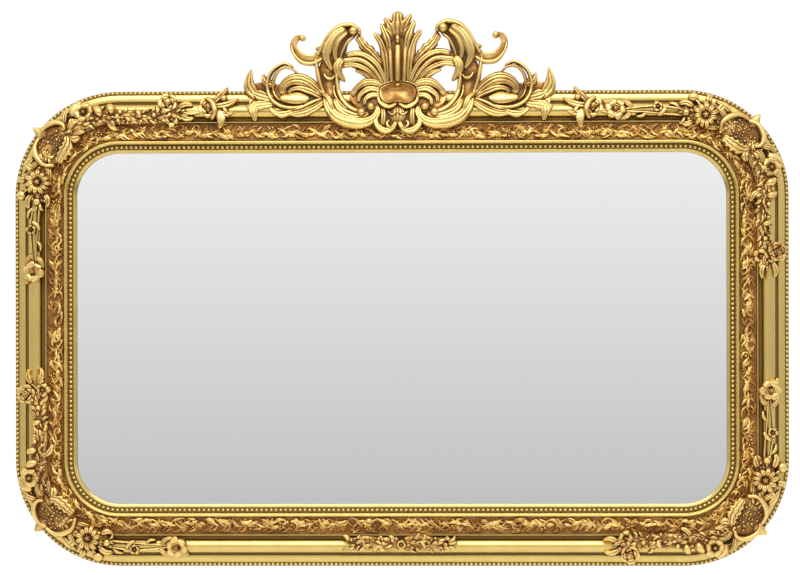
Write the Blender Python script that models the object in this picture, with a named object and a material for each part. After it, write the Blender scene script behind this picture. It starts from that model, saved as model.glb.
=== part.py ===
"""A gilt overmantel mirror in a traditional rococo manner: a rounded rectangular moulding round a silvered plate,
a pierced crest, a rocaille ornament with flower sprays on each corner and a spray on the bottom rail.

The wall is the plane y = 0, the front faces -Y and Z is up. The origin is on the flat back of the top rail, at the
middle of its width. An inset is measured from the frame's outer edge towards the glass, a level from the wall
towards the front. Sizes are in metres.
"""

import math

import bmesh
import bpy
import numpy as np

MM = 0.001
SHARP_ANGLE = math.radians(70)

# Driving sizes of the frame, seen from the front
FRAME_WIDTH = 1.270
FRAME_HEIGHT = 0.780
CORNER_RADIUS = 0.173
CORNER_STEPS = 7

# Widths of the moulding's members, from the outer edge to the glass
OUTER_BEAD_WIDTH = 0.0064
SLOPE_WIDTH = 0.0110
NARROW_GROOVE_WIDTH = 0.0052
HUMP_WIDTH = 0.0206
DEEP_GROOVE_WIDTH = 0.0074
EDGE_LINE_WIDTH = 0.0022
LEAF_BAND_WIDTH = 0.0280
FILLET_WIDTH = 0.0074
INNER_BEAD_WIDTH = 0.0086
LIP_WIDTH = 0.0049

# Levels of the moulding's members above the wall
SIDE_LEVEL = 0.0260
SLOPE_LEVEL = 0.0275
GROOVE_LEVEL = 0.0265
HUMP_LEVEL = 0.0340
EDGE_LINE_LEVEL = 0.0400
BAND_INNER_LEVEL = 0.0435
COVE_LEVEL = 0.0400
SIGHT_LEVEL = 0.0310

# Rises of the rounded members over their edges
BEAD_RISE = 0.0036
SLOPE_RISE = 0.0030
HUMP_RISE = 0.0065
FILLET_RISE = 0.0055

# The running leaves of the band
LEAF_PITCH = 0.0320
LEAF_RISE = 0.0035
LEAF_HOLLOW = 0.0035

# Rebate, glass and back board
LEDGE_LEVEL = 0.0260
REBATE_LAP = 0.0090
GLASS_THICKNESS = 0.0040
BOARD_THICKNESS = 0.0050
PLATE_CLEARANCE = 0.0010
GAP = 0.0003

# Castings: the level of their flat backs, how proud their edges stand of the moulding, and their fineness
CASTING_BACK_LEVEL = 0.0180
CASTING_EDGE = 0.0020
FREE_LEVEL = 0.0300
VOXEL = 0.0019
CREST_TRIANGLES = 1900
CORNER_TRIANGLES = 600
SPRAY_TRIANGLES = 240

# Stems of leaves, in millimetres: the leaves' spacing, length and rise, the widths of stem and leaf at their
# start, middle and end, and the stem's rise as a share of the leaves'
SPRIG_SPACING = 10.0
SPRIG_LEAF = 16.0
SPRIG_RISE = 8.0
STEM_WIDTHS = (8.0, 7.0, 5.0)
STEM_SHARE = 0.7
LEAF_WIDTHS = (5.0, 11.0, 3.0)

# The ornaments are drawn in units that grow with the frame: so many across the whole frame, across the crest,
# from the crest's end to the corner's arc, and up the straight of a side rail
FRAME_UNITS = 1270.0
RAIL_UNITS_ACROSS = 204.5
RAIL_UNITS_UP = 217.0
CREST_UNITS = 515.0
CREST_WIDTH = FRAME_WIDTH * CREST_UNITS / FRAME_UNITS
CREST_RIGHT_RISE = 1.05
CREST_FULLNESS = 1.25


def moulding_insets():
    """The inset at which each member of the moulding ends."""
    widths = {
        "outer_bead": OUTER_BEAD_WIDTH,
        "slope": SLOPE_WIDTH,
        "narrow_groove": NARROW_GROOVE_WIDTH,
        "hump": HUMP_WIDTH,
        "deep_groove": DEEP_GROOVE_WIDTH,
        "edge_line": EDGE_LINE_WIDTH,
        "leaf_band": LEAF_BAND_WIDTH,
        "fillet": FILLET_WIDTH,
        "inner_bead": INNER_BEAD_WIDTH,
        "lip": LIP_WIDTH,
    }
    ends = {}
    inset = 0.0
    for member, width in widths.items():
        inset += width
        ends[member] = inset
    return ends


INSET = moulding_insets()
RAIL_WIDTH = INSET["lip"]
REBATE_INSET = RAIL_WIDTH - REBATE_LAP
HUMP_MIDDLE = INSET["hump"] - HUMP_WIDTH / 2
TOP_EDGE = REBATE_INSET / 2
MIDDLE_HEIGHT = TOP_EDGE - FRAME_HEIGHT / 2


def half_round(start, end, start_level, end_level, rise, steps):
    """(inset, level) points over a rounded member, without its two ends."""
    points = []
    for step in range(1, steps):
        share = step / steps
        level = start_level + (end_level - start_level) * share + rise * math.sin(math.pi * share)
        points.append((start + (end - start) * share, level))
    return points


def outer_members():
    """Section points from the outer edge to the edge line, where the leaf band starts."""
    groove_middle = INSET["slope"] + NARROW_GROOVE_WIDTH / 2
    deep_start = INSET["hump"] + DEEP_GROOVE_WIDTH / 4
    deep_end = INSET["deep_groove"] - DEEP_GROOVE_WIDTH / 4
    return [
        (0.0, SIDE_LEVEL),
        *half_round(0.0, INSET["outer_bead"], SIDE_LEVEL, SLOPE_LEVEL, BEAD_RISE, 2),
        (INSET["outer_bead"], SLOPE_LEVEL),
        (INSET["slope"], SLOPE_LEVEL + SLOPE_RISE),
        (groove_middle, GROOVE_LEVEL),
        (INSET["narrow_groove"], HUMP_LEVEL),
        *half_round(INSET["narrow_groove"], INSET["hump"], HUMP_LEVEL, HUMP_LEVEL, HUMP_RISE, 4),
        (INSET["hump"], HUMP_LEVEL),
        (deep_start, GROOVE_LEVEL),
        (deep_end, GROOVE_LEVEL),
        (INSET["deep_groove"], EDGE_LINE_LEVEL - EDGE_LINE_WIDTH),
        (INSET["edge_line"], EDGE_LINE_LEVEL),
    ]


def inner_members():
    """Section points from the leaf band's inner edge to the glass."""
    bead_start = INSET["fillet"]
    bead_end = INSET["inner_bead"]
    return [
        (INSET["leaf_band"], BAND_INNER_LEVEL),
        *half_round(INSET["leaf_band"], bead_start, BAND_INNER_LEVEL, COVE_LEVEL, FILLET_RISE, 3),
        (bead_start, COVE_LEVEL),
        *half_round(bead_start, bead_end, COVE_LEVEL, COVE_LEVEL, BEAD_RISE, 2),
        (bead_end, COVE_LEVEL),
        (RAIL_WIDTH, SIGHT_LEVEL),
    ]


def corner_centres():
    """The centres of the four corner arcs with the angle at which each starts, anticlockwise from the right."""
    across = FRAME_WIDTH / 2 - CORNER_RADIUS
    up = FRAME_HEIGHT / 2 - CORNER_RADIUS
    return [
        (across, MIDDLE_HEIGHT + up, 0.0),
        (-across, MIDDLE_HEIGHT + up, math.pi / 2),
        (-across, MIDDLE_HEIGHT - up, math.pi),
        (across, MIDDLE_HEIGHT - up, 3 * math.pi / 2),
    ]


def stations(steps=CORNER_STEPS):
    """The stations of a sweep round the frame: arc centre and direction of each."""
    found = []
    for across, up, start in corner_centres():
        for step in range(steps + 1):
            angle = start + math.pi / 2 * step / steps
            found.append((across, up, math.cos(angle), math.sin(angle)))
    return found


def at_inset(station, inset, level):
    across, up, cosine, sine = station
    radius = CORNER_RADIUS - inset
    return (across + radius * cosine, -level, up + radius * sine)


def inset_of(x, z):
    """How far a point on the front lies inside the frame's outer edge; negative outside it."""
    across = abs(x) - (FRAME_WIDTH / 2 - CORNER_RADIUS)
    up = abs(z - MIDDLE_HEIGHT) - (FRAME_HEIGHT / 2 - CORNER_RADIUS)
    outside = math.hypot(max(across, 0.0), max(up, 0.0))
    return CORNER_RADIUS - outside - min(max(across, up), 0.0)


def seat_level(x, z):
    """The level of the surface that a casting rests on: a smooth line over the moulding's high members."""
    insets = (-0.02, 0.0, HUMP_MIDDLE, INSET["leaf_band"], INSET["fillet"], RAIL_WIDTH)
    hump = HUMP_LEVEL + HUMP_RISE
    fillet = BAND_INNER_LEVEL + FILLET_RISE
    levels = (FREE_LEVEL, SIDE_LEVEL + BEAD_RISE, hump, fillet, fillet, SIGHT_LEVEL)
    return float(np.interp(inset_of(x, z), insets, levels))


def gilt(name, colour, roughness=0.35, metallic=0.8):
    """A Principled material; colour is linear red, green and blue."""
    material = bpy.data.materials.new(name)
    material.use_nodes = True
    shader = material.node_tree.nodes["Principled BSDF"]
    shader.inputs["Base Color"].default_value = (*colour, 1.0)
    shader.inputs["Roughness"].default_value = roughness
    shader.inputs["Metallic"].default_value = metallic
    return material


def new_object(name, bm, material):
    mesh = bpy.data.meshes.new(name)
    bm.to_mesh(mesh)
    bm.free()
    mesh.materials.append(material)
    obj = bpy.data.objects.new(name, mesh)
    bpy.context.collection.objects.link(obj)
    return obj


def band_middle(start, end, rise):
    """The section point half way across the leaf band, raised over the line between its two edges."""
    return (start[0] + end[0]) / 2, (start[1] + end[1]) / 2 + rise


def leaf_rows(first, second, start, end):
    """Points of the leaf band between two stations: its outer edge, the hollows and crowns, and its inner edge."""
    crown = band_middle(start, end, LEAF_RISE)
    hollow = band_middle(start, end, -LEAF_HOLLOW)
    leaves = max(1, round(math.dist(at_inset(first, *crown), at_inset(second, *crown)) / LEAF_PITCH))

    def along(point, share):
        near = np.array(at_inset(first, *point))
        far = np.array(at_inset(second, *point))
        return tuple(near + (far - near) * share)

    joints = [leaf / leaves for leaf in range(leaves + 1)]
    middles = [(leaf + 0.5) / leaves for leaf in range(leaves)]
    return (
        [along(start, share) for share in joints],
        [along(hollow, share) for share in joints],
        [along(crown, share) for share in middles],
        [along(end, share) for share in joints],
    )


def vertex_at(bm, places, point):
    """The vertex at a point, made only once."""
    key = tuple(round(value / 1e-7) for value in point)
    if key not in places:
        places[key] = bm.verts.new(point)
    return places[key]


def frame_moulding(material):
    """The moulding swept round the frame, with a leaf at each pitch along its band."""
    outer = outer_members()
    inner = inner_members()
    back = [
        (RAIL_WIDTH, LEDGE_LEVEL),
        (REBATE_INSET, LEDGE_LEVEL),
        (REBATE_INSET, 0.0),
        (0.0, 0.0),
    ]
    bm = bmesh.new()
    places = {}
    rings = stations()
    for index, first in enumerate(rings):
        second = rings[(index + 1) % len(rings)]
        rows = leaf_rows(first, second, outer[-1], inner[0])
        band_start, hollows, crowns, band_end = [[vertex_at(bm, places, point) for point in row] for row in rows]
        for leaf, crown in enumerate(crowns):
            for edge in (band_start, band_end):
                bm.faces.new((edge[leaf], edge[leaf + 1], crown))
                bm.faces.new((hollows[leaf], edge[leaf], crown))
                bm.faces.new((crown, edge[leaf + 1], hollows[leaf + 1]))
        around = [*inner, *back, *outer]
        for (inset, level), (next_inset, next_level) in zip(around, around[1:]):
            near = vertex_at(bm, places, at_inset(first, inset, level))
            far = vertex_at(bm, places, at_inset(second, inset, level))
            next_near = vertex_at(bm, places, at_inset(first, next_inset, next_level))
            next_far = vertex_at(bm, places, at_inset(second, next_inset, next_level))
            side = [near, far]
            next_side = [next_near, next_far]
            if near is band_end[0]:
                side = band_end
            if next_near is band_start[0]:
                next_side = band_start
            bm.faces.new((*side, *reversed(next_side))).smooth = True
    bmesh.ops.recalc_face_normals(bm, faces=bm.faces)
    moulding = new_object("frame_moulding", bm, material)
    moulding.data.set_sharp_from_angle(angle=SHARP_ANGLE)
    return moulding


def frame_cutter():
    """A ring over the high members of the moulding, clear of them by the gap. It cuts the seats of the castings."""
    outer = outer_members()
    inner = inner_members()
    hump_crown = (HUMP_MIDDLE, HUMP_LEVEL + HUMP_RISE)
    leaf_crown = band_middle(outer[-1], inner[0], LEAF_RISE)
    front = [outer[1], hump_crown, outer[-1], leaf_crown, *inner[:3]]
    section = [(-GAP, -GAP), (-GAP, SIDE_LEVEL + GAP)]
    section += [(inset, level + GAP) for inset, level in front]
    section += [(RAIL_WIDTH, COVE_LEVEL + BEAD_RISE + GAP), (RAIL_WIDTH, -GAP)]
    bm = bmesh.new()
    rings = [[bm.verts.new(at_inset(station, *point)) for point in section] for station in stations()]
    for first, second in zip(rings, rings[1:] + rings[:1]):
        for index in range(len(section)):
            after = (index + 1) % len(section)
            bm.faces.new((first[index], second[index], second[after], first[after]))
    bmesh.ops.recalc_face_normals(bm, faces=bm.faces)
    cutter = new_object("frame_cutter", bm, gilt("cutter", (1.0, 0.0, 1.0)))
    cutter.hide_render = True
    cutter.display_type = "WIRE"
    return cutter


def plate(name, front_level, thickness, material):
    """A rounded rectangular sheet that fits in the rebate."""
    inset = REBATE_INSET + PLATE_CLEARANCE
    bm = bmesh.new()
    outline = [bm.verts.new(at_inset(station, inset, front_level)) for station in stations()]
    sheet = bm.faces.new(outline)
    grown = bmesh.ops.extrude_face_region(bm, geom=[sheet])
    moved = [item for item in grown["geom"] if isinstance(item, bmesh.types.BMVert)]
    bmesh.ops.translate(bm, verts=moved, vec=(0.0, thickness, 0.0))
    bmesh.ops.recalc_face_normals(bm, faces=bm.faces)
    return new_object(name, bm, material)


def smooth_path(points, steps):
    """Points along a smooth curve through the given ones, each with its share of the way."""
    points = [np.array(point, float) for point in points]
    padded = [2 * points[0] - points[1], *points, 2 * points[-1] - points[-2]]
    found = []
    spans = len(points) - 1
    for span in range(spans):
        before, start, end, after = padded[span : span + 4]
        for step in range(steps + (span == spans - 1)):
            t = step / steps
            point = 0.5 * (
                2 * start
                + (end - before) * t
                + (2 * before - 5 * start + 4 * end - after) * t**2
                + (3 * start - before - 3 * end + after) * t**3
            )
            found.append((point, (span + t) / spans))
    return found


def add_stroke(bm, place, points, widths, rise, steps=3):
    """A carved scroll or leaf: a rounded rib along a curve, with a flat back.

    The points and widths are millimetres in the ornament's own drawing; place turns a drawn point into x and z.
    The width goes from the first value through the middle one to the last.
    """
    path = smooth_path(points, steps)
    rings = []
    for index, (point, share) in enumerate(path):
        ahead = path[min(index + 1, len(path) - 1)][0]
        behind = path[max(index - 1, 0)][0]
        along = (ahead - behind) / np.linalg.norm(ahead - behind)
        across = np.array((-along[1], along[0]))
        half = np.interp(share, (0.0, 0.5, 1.0), widths) / 2
        crown = rise * (0.35 + 0.65 * math.sin(math.pi * min(share + 0.25, 1.0)))
        ring = []
        for side, height in ((-1, None), (-1, 0.0), (-0.55, 0.85), (0, 1.0), (0.55, 0.85), (1, 0.0), (1, None)):
            x, z = place(*(point + across * half * side))
            level = CASTING_BACK_LEVEL
            if height is not None:
                level = seat_level(x, z) + CASTING_EDGE + crown * height * MM
            ring.append(bm.verts.new((x, -level, z)))
        rings.append(ring)
    join_rings(bm, rings)


def join_rings(bm, rings):
    """Faces between rings of as many vertices, closed at both ends."""
    for first, second in zip(rings, rings[1:]):
        count = len(first)
        for index in range(count):
            after = (index + 1) % count
            bm.faces.new((first[index], second[index], second[after], first[after]))
    bm.faces.new(rings[0])
    bm.faces.new(rings[-1])


def add_boss(bm, place, centre, radius, rise, sides=10):
    """A round bud or flower centre: a low dome on a short drum."""
    rings = []
    for share, height in ((1.0, None), (1.0, 0.0), (0.75, 0.7), (0.3, 1.0)):
        ring = []
        for side in range(sides):
            angle = 2 * math.pi * side / sides
            x, z = place(
                centre[0] + radius * share * math.cos(angle),
                centre[1] + radius * share * math.sin(angle),
            )
            level = CASTING_BACK_LEVEL
            if height is not None:
                level = seat_level(x, z) + CASTING_EDGE + rise * height * MM
            ring.append(bm.verts.new((x, -level, z)))
        rings.append(ring)
    join_rings(bm, rings)


def add_flower(bm, place, centre, radius, petals, rise):
    """An open flower: petals round a boss."""
    width = min(2.2 * math.pi * radius / petals, radius)
    for petal in range(petals):
        angle = 2 * math.pi * petal / petals
        tip = np.array((math.cos(angle), math.sin(angle)))
        points = [tuple(np.array(centre) + tip * radius * share) for share in (0.1, 0.55, 1.0)]
        add_stroke(bm, place, points, (width * 0.4, width, width * 0.5), rise, steps=2)
    add_boss(bm, place, centre, radius * 0.35, rise * 1.25)


def add_sprig(bm, place, points, spacing, leaf_length, rise):
    """A stem with leaves by turns on its two sides."""
    add_stroke(bm, place, points, STEM_WIDTHS, rise * STEM_SHARE)
    path = [point for point, share in smooth_path(points, 12)]
    walked = 0.0
    side = 1
    for start, end in zip(path, path[1:]):
        walked += np.linalg.norm(end - start)
        if walked < spacing:
            continue
        walked = 0.0
        side = -side
        along = (end - start) / np.linalg.norm(end - start)
        across = np.array((-along[1], along[0])) * side
        middle = end + (along * 0.45 + across * 0.35) * leaf_length
        tip = end + (along * 0.75 + across * 0.80) * leaf_length
        add_stroke(bm, place, [end, middle, tip], LEAF_WIDTHS, rise, steps=2)


def casting(name, bm, triangles, material, cutter):
    """One closed casting: the overlapping shapes fused, thinned out and seated on the moulding."""
    bmesh.ops.recalc_face_normals(bm, faces=bm.faces)
    obj = new_object(name, bm, material)
    fuse = obj.modifiers.new("fuse", "REMESH")
    fuse.mode = "VOXEL"
    fuse.voxel_size = VOXEL
    bpy.context.view_layer.update()
    fused = obj.evaluated_get(bpy.context.evaluated_depsgraph_get()).to_mesh()
    thin_out = obj.modifiers.new("thin_out", "DECIMATE")
    thin_out.ratio = triangles / (2 * len(fused.polygons))
    seat = obj.modifiers.new("seat", "BOOLEAN")
    seat.operation = "DIFFERENCE"
    seat.solver = "MANIFOLD"
    seat.object = cutter
    return obj


# The left half of the crest: places in millimetres outwards from its middle and up from the frame's top edge,
# then the widths at the start, middle and end, then the rise. The first three rows lie on the middle line.
CREST_MIDDLE = {
    "central_flute": ([(0, 15), (0, 45), (0, 76)], (9, 10, 9), 12),
    "bud": ([(0, 82), (0, 96)], (6, 8, 5), 13),
    "top_leaf": ([(0, 86), (0, 108), (0, 129)], (12, 21, 9), 9),
    "scallop": ([(0, -26), (0, -38), (0, -52)], (16, 30, 14), 7),
    "bowl_floor": ([(0, 10), (0, -5), (0, -21)], (44, 60, 36), 3),
}
CREST_HALF = {
    "flute": ([(8, 15), (11, 45), (12, 76)], (6, 6, 6), 11),
    "outer_strand": ([(14, 16), (17, 49), (23, 75), (37, 96)], (6, 12, 3), 8),
    "shoulder_strand": ([(13, 30), (16, 64), (17, 90), (26, 117)], (6, 14, 4), 9),
    "inner_strand": ([(8, 62), (9, 88), (13, 112)], (8, 14, 8), 7),
    "plume_upper": ([(19, 14), (29, 37), (44, 54), (58, 71), (68, 88)], (6, 8, 7), 8),
    "plume_middle": ([(19, 10), (33, 30), (49, 45), (65, 54), (90, 56)], (6, 9, 9), 10),
    "plume_lower": ([(24, 8), (38, 25), (53, 37), (72, 45), (94, 45)], (6, 9, 12), 8),
    "plume_fringe": ([(31, 8), (44, 24), (57, 32), (71, 37)], (6, 9, 3), 5),
    "trunk_leaf": ([(94, 51), (100, 39), (98, 28), (88, 16)], (14, 14, 4), 10),
    "horn_rim": ([(67, 90), (68, 101), (82, 106), (99, 103), (112, 92), (121, 77), (132, 60)], (7, 8, 7), 12),
    "horn_leaf": ([(86, 102), (103, 92), (115, 77), (121, 60), (117, 45), (109, 33)], (8, 15, 4), 14),
    "horn_recess": ([(84, 97), (94, 80), (104, 56)], (12, 22, 18), 3),
    "horn_inner": ([(73, 92), (86, 80), (94, 66), (101, 49)], (8, 7, 8), 8),
    "hook": ([(124, 58), (140, 51), (155, 53), (167, 64), (173, 76), (169, 86), (161, 89)], (16, 13, 6), 10),
    "trunk": ([(112, 52), (118, 30), (117, 9), (110, -14)], (26, 28, 24), 4),
    "trunk_left_rim": ([(139, 50), (134, 30), (132, 15), (127, -1), (121, -16)], (5, 6, 6), 9),
    "trunk_right_rim": ([(103, 28), (102, 11), (99, -6), (89, -21), (75, -30), (59, -32)], (6, 6, 9), 10),
    "lower_scroll": (
        [(121, -8), (116, -27), (103, -42), (82, -51), (59, -53), (42, -47), (35, -35), (37, -24)],
        (13, 13, 8),
        11,
    ),
    "side_leaf_upper": ([(124, -14), (140, 3), (159, 16), (176, 20), (189, 18), (194, 9), (190, -1)], (14, 16, 8), 13),
    "side_leaf_middle": ([(124, -16), (146, -5), (165, 2), (180, 4), (189, -1)], (10, 10, 6), 9),
    "tongue": ([(142, -10), (173, -13), (204, -15)], (10, 15, 9), 7),
    "ring": (
        [(166, 26), (180, 37), (195, 40), (207, 33), (213, 19), (214, 3), (208, -11), (197, -21), (180, -27),
         (161, -23), (140, -13)],
        (6, 5, 6),
        11,
    ),
    "outer_ring": ([(190, 42), (208, 37), (218, 26), (221, 9), (217, -8), (207, -22), (192, -30)], (5, 7, 6), 8),
    "side_leaf_lower": ([(122, -18), (142, -29), (161, -37), (176, -37), (185, -30)], (9, 13, 6), 8),
    "low_tongue": ([(170, -29), (190, -36), (203, -35), (214, -26)], (8, 10, 6), 5),
    "inner_spike": ([(222, -14), (231, 5), (224, 20), (217, 34)], (14, 13, 3), 7),
    "outer_spike": ([(238, -18), (250, 2), (251, 18), (248, 35)], (18, 16, 3), 8),
    "hanging_leaf": ([(236, -14), (243, -29), (243, -46)], (12, 14, 5), 6),
    "upper_lobe": ([(212, -14), (233, -8), (254, -2)], (12, 15, 7), 9),
    "lower_lobe": ([(212, -18), (233, -20), (255, -26)], (12, 13, 6), 7),
    "wing_upper": ([(24, 10), (50, 10), (67, 6), (75, -8)], (10, 10, 6), 9),
    "wing_middle": ([(26, 0), (50, 1), (64, -7)], (10, 10, 6), 8),
    "wing_lower": ([(24, -12), (44, -12), (56, -24)], (9, 9, 6), 7),
    "bowl_rim": ([(0, 14), (18, 12), (29, 4), (31, -8), (24, -20)], (5, 5, 5), 8),
    "lip": ([(30, -12), (19, -24), (8, -26), (0, -20)], (6, 8, 6), 11),
    "bar": ([(24, -26), (23, -42), (23, -56)], (8, 9, 9), 8),
    "foot": ([(36, -40), (33, -57), (21, -64), (8, -60), (2, -50)], (8, 9, 8), 9),
}
CREST_BOSSES = {
    "horn_ball": ((75, 95), 6, 15),
    "hook_ball": ((163, 89), 4, 10),
    "scroll_ball": ((43, -24), 6, 14),
    "trunk_curl": ((60, -32), 6, 14),
}

# The applied ornaments: places in millimetres along the rail, from the corner's diagonal, and in from the outer
# edge. Runs over zero go along the top or bottom rail, runs under zero along the side rail.
CARTOUCHE = {
    "field": ([(-30, 32), (-14, 32), (4, 32)], (22, 34, 22), 3),
    "tip": ([(-16, 18), (-16, 4), (-17, -10)], (14, 10, 3), 6),
    "outer_scroll": ([(10, 40), (14, 24), (2, 12), (-16, 10), (-30, 16)], (6, 8, 8), 11),
    "side_scroll": ([(-26, 12), (-42, 20), (-44, 36), (-36, 50)], (9, 8, 7), 10),
    "shell_edge": ([(10, 36), (0, 52), (-18, 58), (-36, 50)], (8, 13, 9), 10),
}
CORNER_CASTING = {
    "strokes": {
        **CARTOUCHE,
        "poppy_leaf": ([(-222, 32), (-238, 40), (-252, 36)], (10, 12, 4), 8),
        "poppy_leaf_outer": ([(-222, 30), (-238, 22), (-254, 20)], (10, 12, 4), 8),
        "outer_bud_stem": ([(-90, 34), (-98, 22), (-108, 12)], (8, 8, 8), 8),
        "inner_stem": ([(-100, 40), (-140, 40), (-185, 37), (-226, 34)], (8, 7, 8), 6),
        "outer_stem": ([(-100, 38), (-130, 31), (-164, 27), (-200, 30), (-226, 33)], (8, 7, 8), 6),
    },
    "sprigs": {
        "long_arm": [(2, 34), (52, 36), (94, 40), (145, 42), (210, 38)],
        "short_arm": [(-30, 34), (-60, 38), (-118, 39)],
    },
    "flowers": {
        "fluted_flower": ((52, 18), 15, 6, 13),
        "trefoil": ((145, 40), 9, 3, 12),
        "rose": ((190, 19), 13, 5, 13),
        "bell": ((197, 46), 13, 5, 11),
        "daisy": ((-85, 38), 18, 10, 12),
        "star": ((-164, 28), 8, 5, 11),
        "poppy": ((-233, 31), 15, 6, 12),
    },
    "buds": {
        "first": ((78, 28), 8, 14),
        "second": ((96, 31), 8, 14),
        "outer": ((-108, 12), 7, 10),
    },
}
CREST_BLOSSOM = {
    "strokes": {
        "stem": ([(200, 36), (232, 33), (259, 28)], (8, 9, 8), 6),
        "drooping_petal": ([(270, 30), (278, 44), (276, 62)], (12, 15, 4), 12),
        "end_leaf_high": ([(262, 22), (278, 6), (288, -6)], (10, 12, 4), 9),
        "end_leaf_low": ([(262, 26), (288, 22), (306, 12)], (10, 13, 4), 9),
    },
    "sprigs": {},
    "flowers": {"blossom": ((259, 26), 15, 5, 13)},
    "buds": {},
}
BOTTOM_SPRAY = {
    "strokes": {},
    "sprigs": {
        "left": [(-4, 33), (-36, 31), (-60, 36), (-88, 33)],
        "right": [(4, 33), (34, 36), (56, 31), (80, 34)],
    },
    "flowers": {
        "rosette": ((0, 33), 12, 8, 11),
        "left_rosette": ((-46, 33), 8, 6, 9),
        "right_rosette": ((42, 34), 8, 6, 9),
    },
    "buds": {},
}


def crest(material, cutter):
    scale = CREST_WIDTH / CREST_UNITS
    bm = bmesh.new()
    for side in (-1, 1):
        rise = CREST_RIGHT_RISE if side > 0 else 1.0

        def place(out, up):
            return side * out * scale, TOP_EDGE + up * scale * (rise if up > 0 else 1.0)

        strokes = CREST_HALF if side > 0 else {**CREST_MIDDLE, **CREST_HALF}
        for points, widths, height in strokes.values():
            add_stroke(bm, place, points, [width * CREST_FULLNESS for width in widths], height)
        for centre, radius, height in CREST_BOSSES.values():
            add_boss(bm, place, centre, radius, height)
    return casting("crest", bm, CREST_TRIANGLES, material, cutter)


def corner_place(side, up, swapped, shift):
    """Turns a run along the rail and an inset into x and z, at the corner on the given side.

    The one corner casting is turned a quarter from corner to corner, so at two of them its arms lie swapped.
    """
    centre_x = FRAME_WIDTH / 2 - CORNER_RADIUS
    centre_z = FRAME_HEIGHT / 2 - CORNER_RADIUS
    half_arc = (CORNER_RADIUS - HUMP_MIDDLE) * math.pi / 4
    across_unit = (centre_x - CREST_WIDTH / 2) / RAIL_UNITS_ACROSS
    up_unit = centre_z / RAIL_UNITS_UP

    def place(run, inset):
        run = (-run if swapped else run) + shift
        radius = CORNER_RADIUS - inset * MM
        beyond = abs(run) - half_arc / MM
        turn = math.pi / 4 * max(-1.0, min(1.0, run * MM / half_arc))
        x = centre_x + radius * math.sin(math.pi / 4 - turn)
        z = centre_z + radius * math.cos(math.pi / 4 - turn)
        if beyond > 0 and run > 0:
            x -= beyond * across_unit
        elif beyond > 0:
            z -= beyond * up_unit
        return side * x, MIDDLE_HEIGHT + up * z

    return place


def bottom_place(run, inset):
    return run * FRAME_WIDTH / FRAME_UNITS, MIDDLE_HEIGHT - FRAME_HEIGHT / 2 + inset * MM


def applied_ornament(name, designs, triangles, material, cutter):
    bm = bmesh.new()
    for design, place in designs:
        for points, widths, rise in design["strokes"].values():
            add_stroke(bm, place, points, widths, rise)
        for points in design["sprigs"].values():
            add_sprig(bm, place, points, SPRIG_SPACING, SPRIG_LEAF, SPRIG_RISE)
        for centre, radius, petals, rise in design["flowers"].values():
            add_flower(bm, place, centre, radius, petals, rise)
        for centre, radius, rise in design["buds"].values():
            add_boss(bm, place, centre, radius, rise)
    return casting(name, bm, triangles, material, cutter)


def main():
    for obj in list(bpy.data.objects):
        bpy.data.objects.remove(obj)
    gold = gilt("gilt_frame", (0.55, 0.38, 0.12))
    ornament_gold = gilt("gilt_ornament", (0.60, 0.40, 0.14), roughness=0.3)
    silvering = gilt("silvered_glass", (0.85, 0.87, 0.87), roughness=0.03, metallic=1.0)
    board = gilt("board", (0.25, 0.16, 0.09), roughness=0.7, metallic=0.0)

    frame_moulding(gold)
    cutter = frame_cutter()
    glass_front = LEDGE_LEVEL - GAP
    plate("mirror_glass", glass_front, GLASS_THICKNESS, silvering)
    plate("back_board", glass_front - GLASS_THICKNESS - GAP, BOARD_THICKNESS, board)
    crest(ornament_gold, cutter)
    corners = {
        "upper_left": (-1, 1, False, 0.0),
        "upper_right": (1, 1, True, -13.0),
        "lower_left": (-1, -1, True, -30.0),
        "lower_right": (1, -1, False, 8.0),
    }
    for corner, (side, up, swapped, shift) in corners.items():
        designs = [(CORNER_CASTING, corner_place(side, up, swapped, shift))]
        if up > 0:
            designs.append((CREST_BLOSSOM, corner_place(side, up, False, 0.0)))
        applied_ornament(f"corner_ornament_{corner}", designs, CORNER_TRIANGLES, ornament_gold, cutter)
    applied_ornament("bottom_spray", [(BOTTOM_SPRAY, bottom_place)], SPRAY_TRIANGLES, ornament_gold, cutter)


if __name__ == "__main__":
    main()
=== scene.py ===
import math

import bmesh
import bpy
import numpy as np
from bpy.props import FloatProperty, FloatVectorProperty, IntProperty, PointerProperty
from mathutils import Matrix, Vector
from mathutils.bvhtree import BVHTree


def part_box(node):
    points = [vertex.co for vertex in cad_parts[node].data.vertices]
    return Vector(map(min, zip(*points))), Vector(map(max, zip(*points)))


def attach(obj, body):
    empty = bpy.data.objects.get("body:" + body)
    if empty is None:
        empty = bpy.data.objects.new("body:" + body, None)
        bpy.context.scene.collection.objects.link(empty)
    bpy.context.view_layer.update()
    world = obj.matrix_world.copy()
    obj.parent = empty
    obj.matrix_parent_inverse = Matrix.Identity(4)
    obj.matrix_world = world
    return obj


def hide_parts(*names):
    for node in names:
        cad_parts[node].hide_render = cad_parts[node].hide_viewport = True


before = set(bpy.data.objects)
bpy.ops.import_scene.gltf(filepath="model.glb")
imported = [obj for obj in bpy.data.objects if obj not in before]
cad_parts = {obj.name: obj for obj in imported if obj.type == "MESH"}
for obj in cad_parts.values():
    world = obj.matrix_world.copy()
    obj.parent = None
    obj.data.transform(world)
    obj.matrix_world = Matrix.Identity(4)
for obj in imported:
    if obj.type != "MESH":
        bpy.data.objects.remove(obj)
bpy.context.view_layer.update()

bl_info = {
    "name": "Gilt Overmantel Mirror",
    "version": (1, 0, 0),
    "blender": (4, 5, 0),
    "location": "3D View > Sidebar > Mirror",
    "description": "Dresses a rococo overmantel mirror: moulding, beads, leaf band, crest and ornaments",
    "category": "Object",
}

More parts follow.
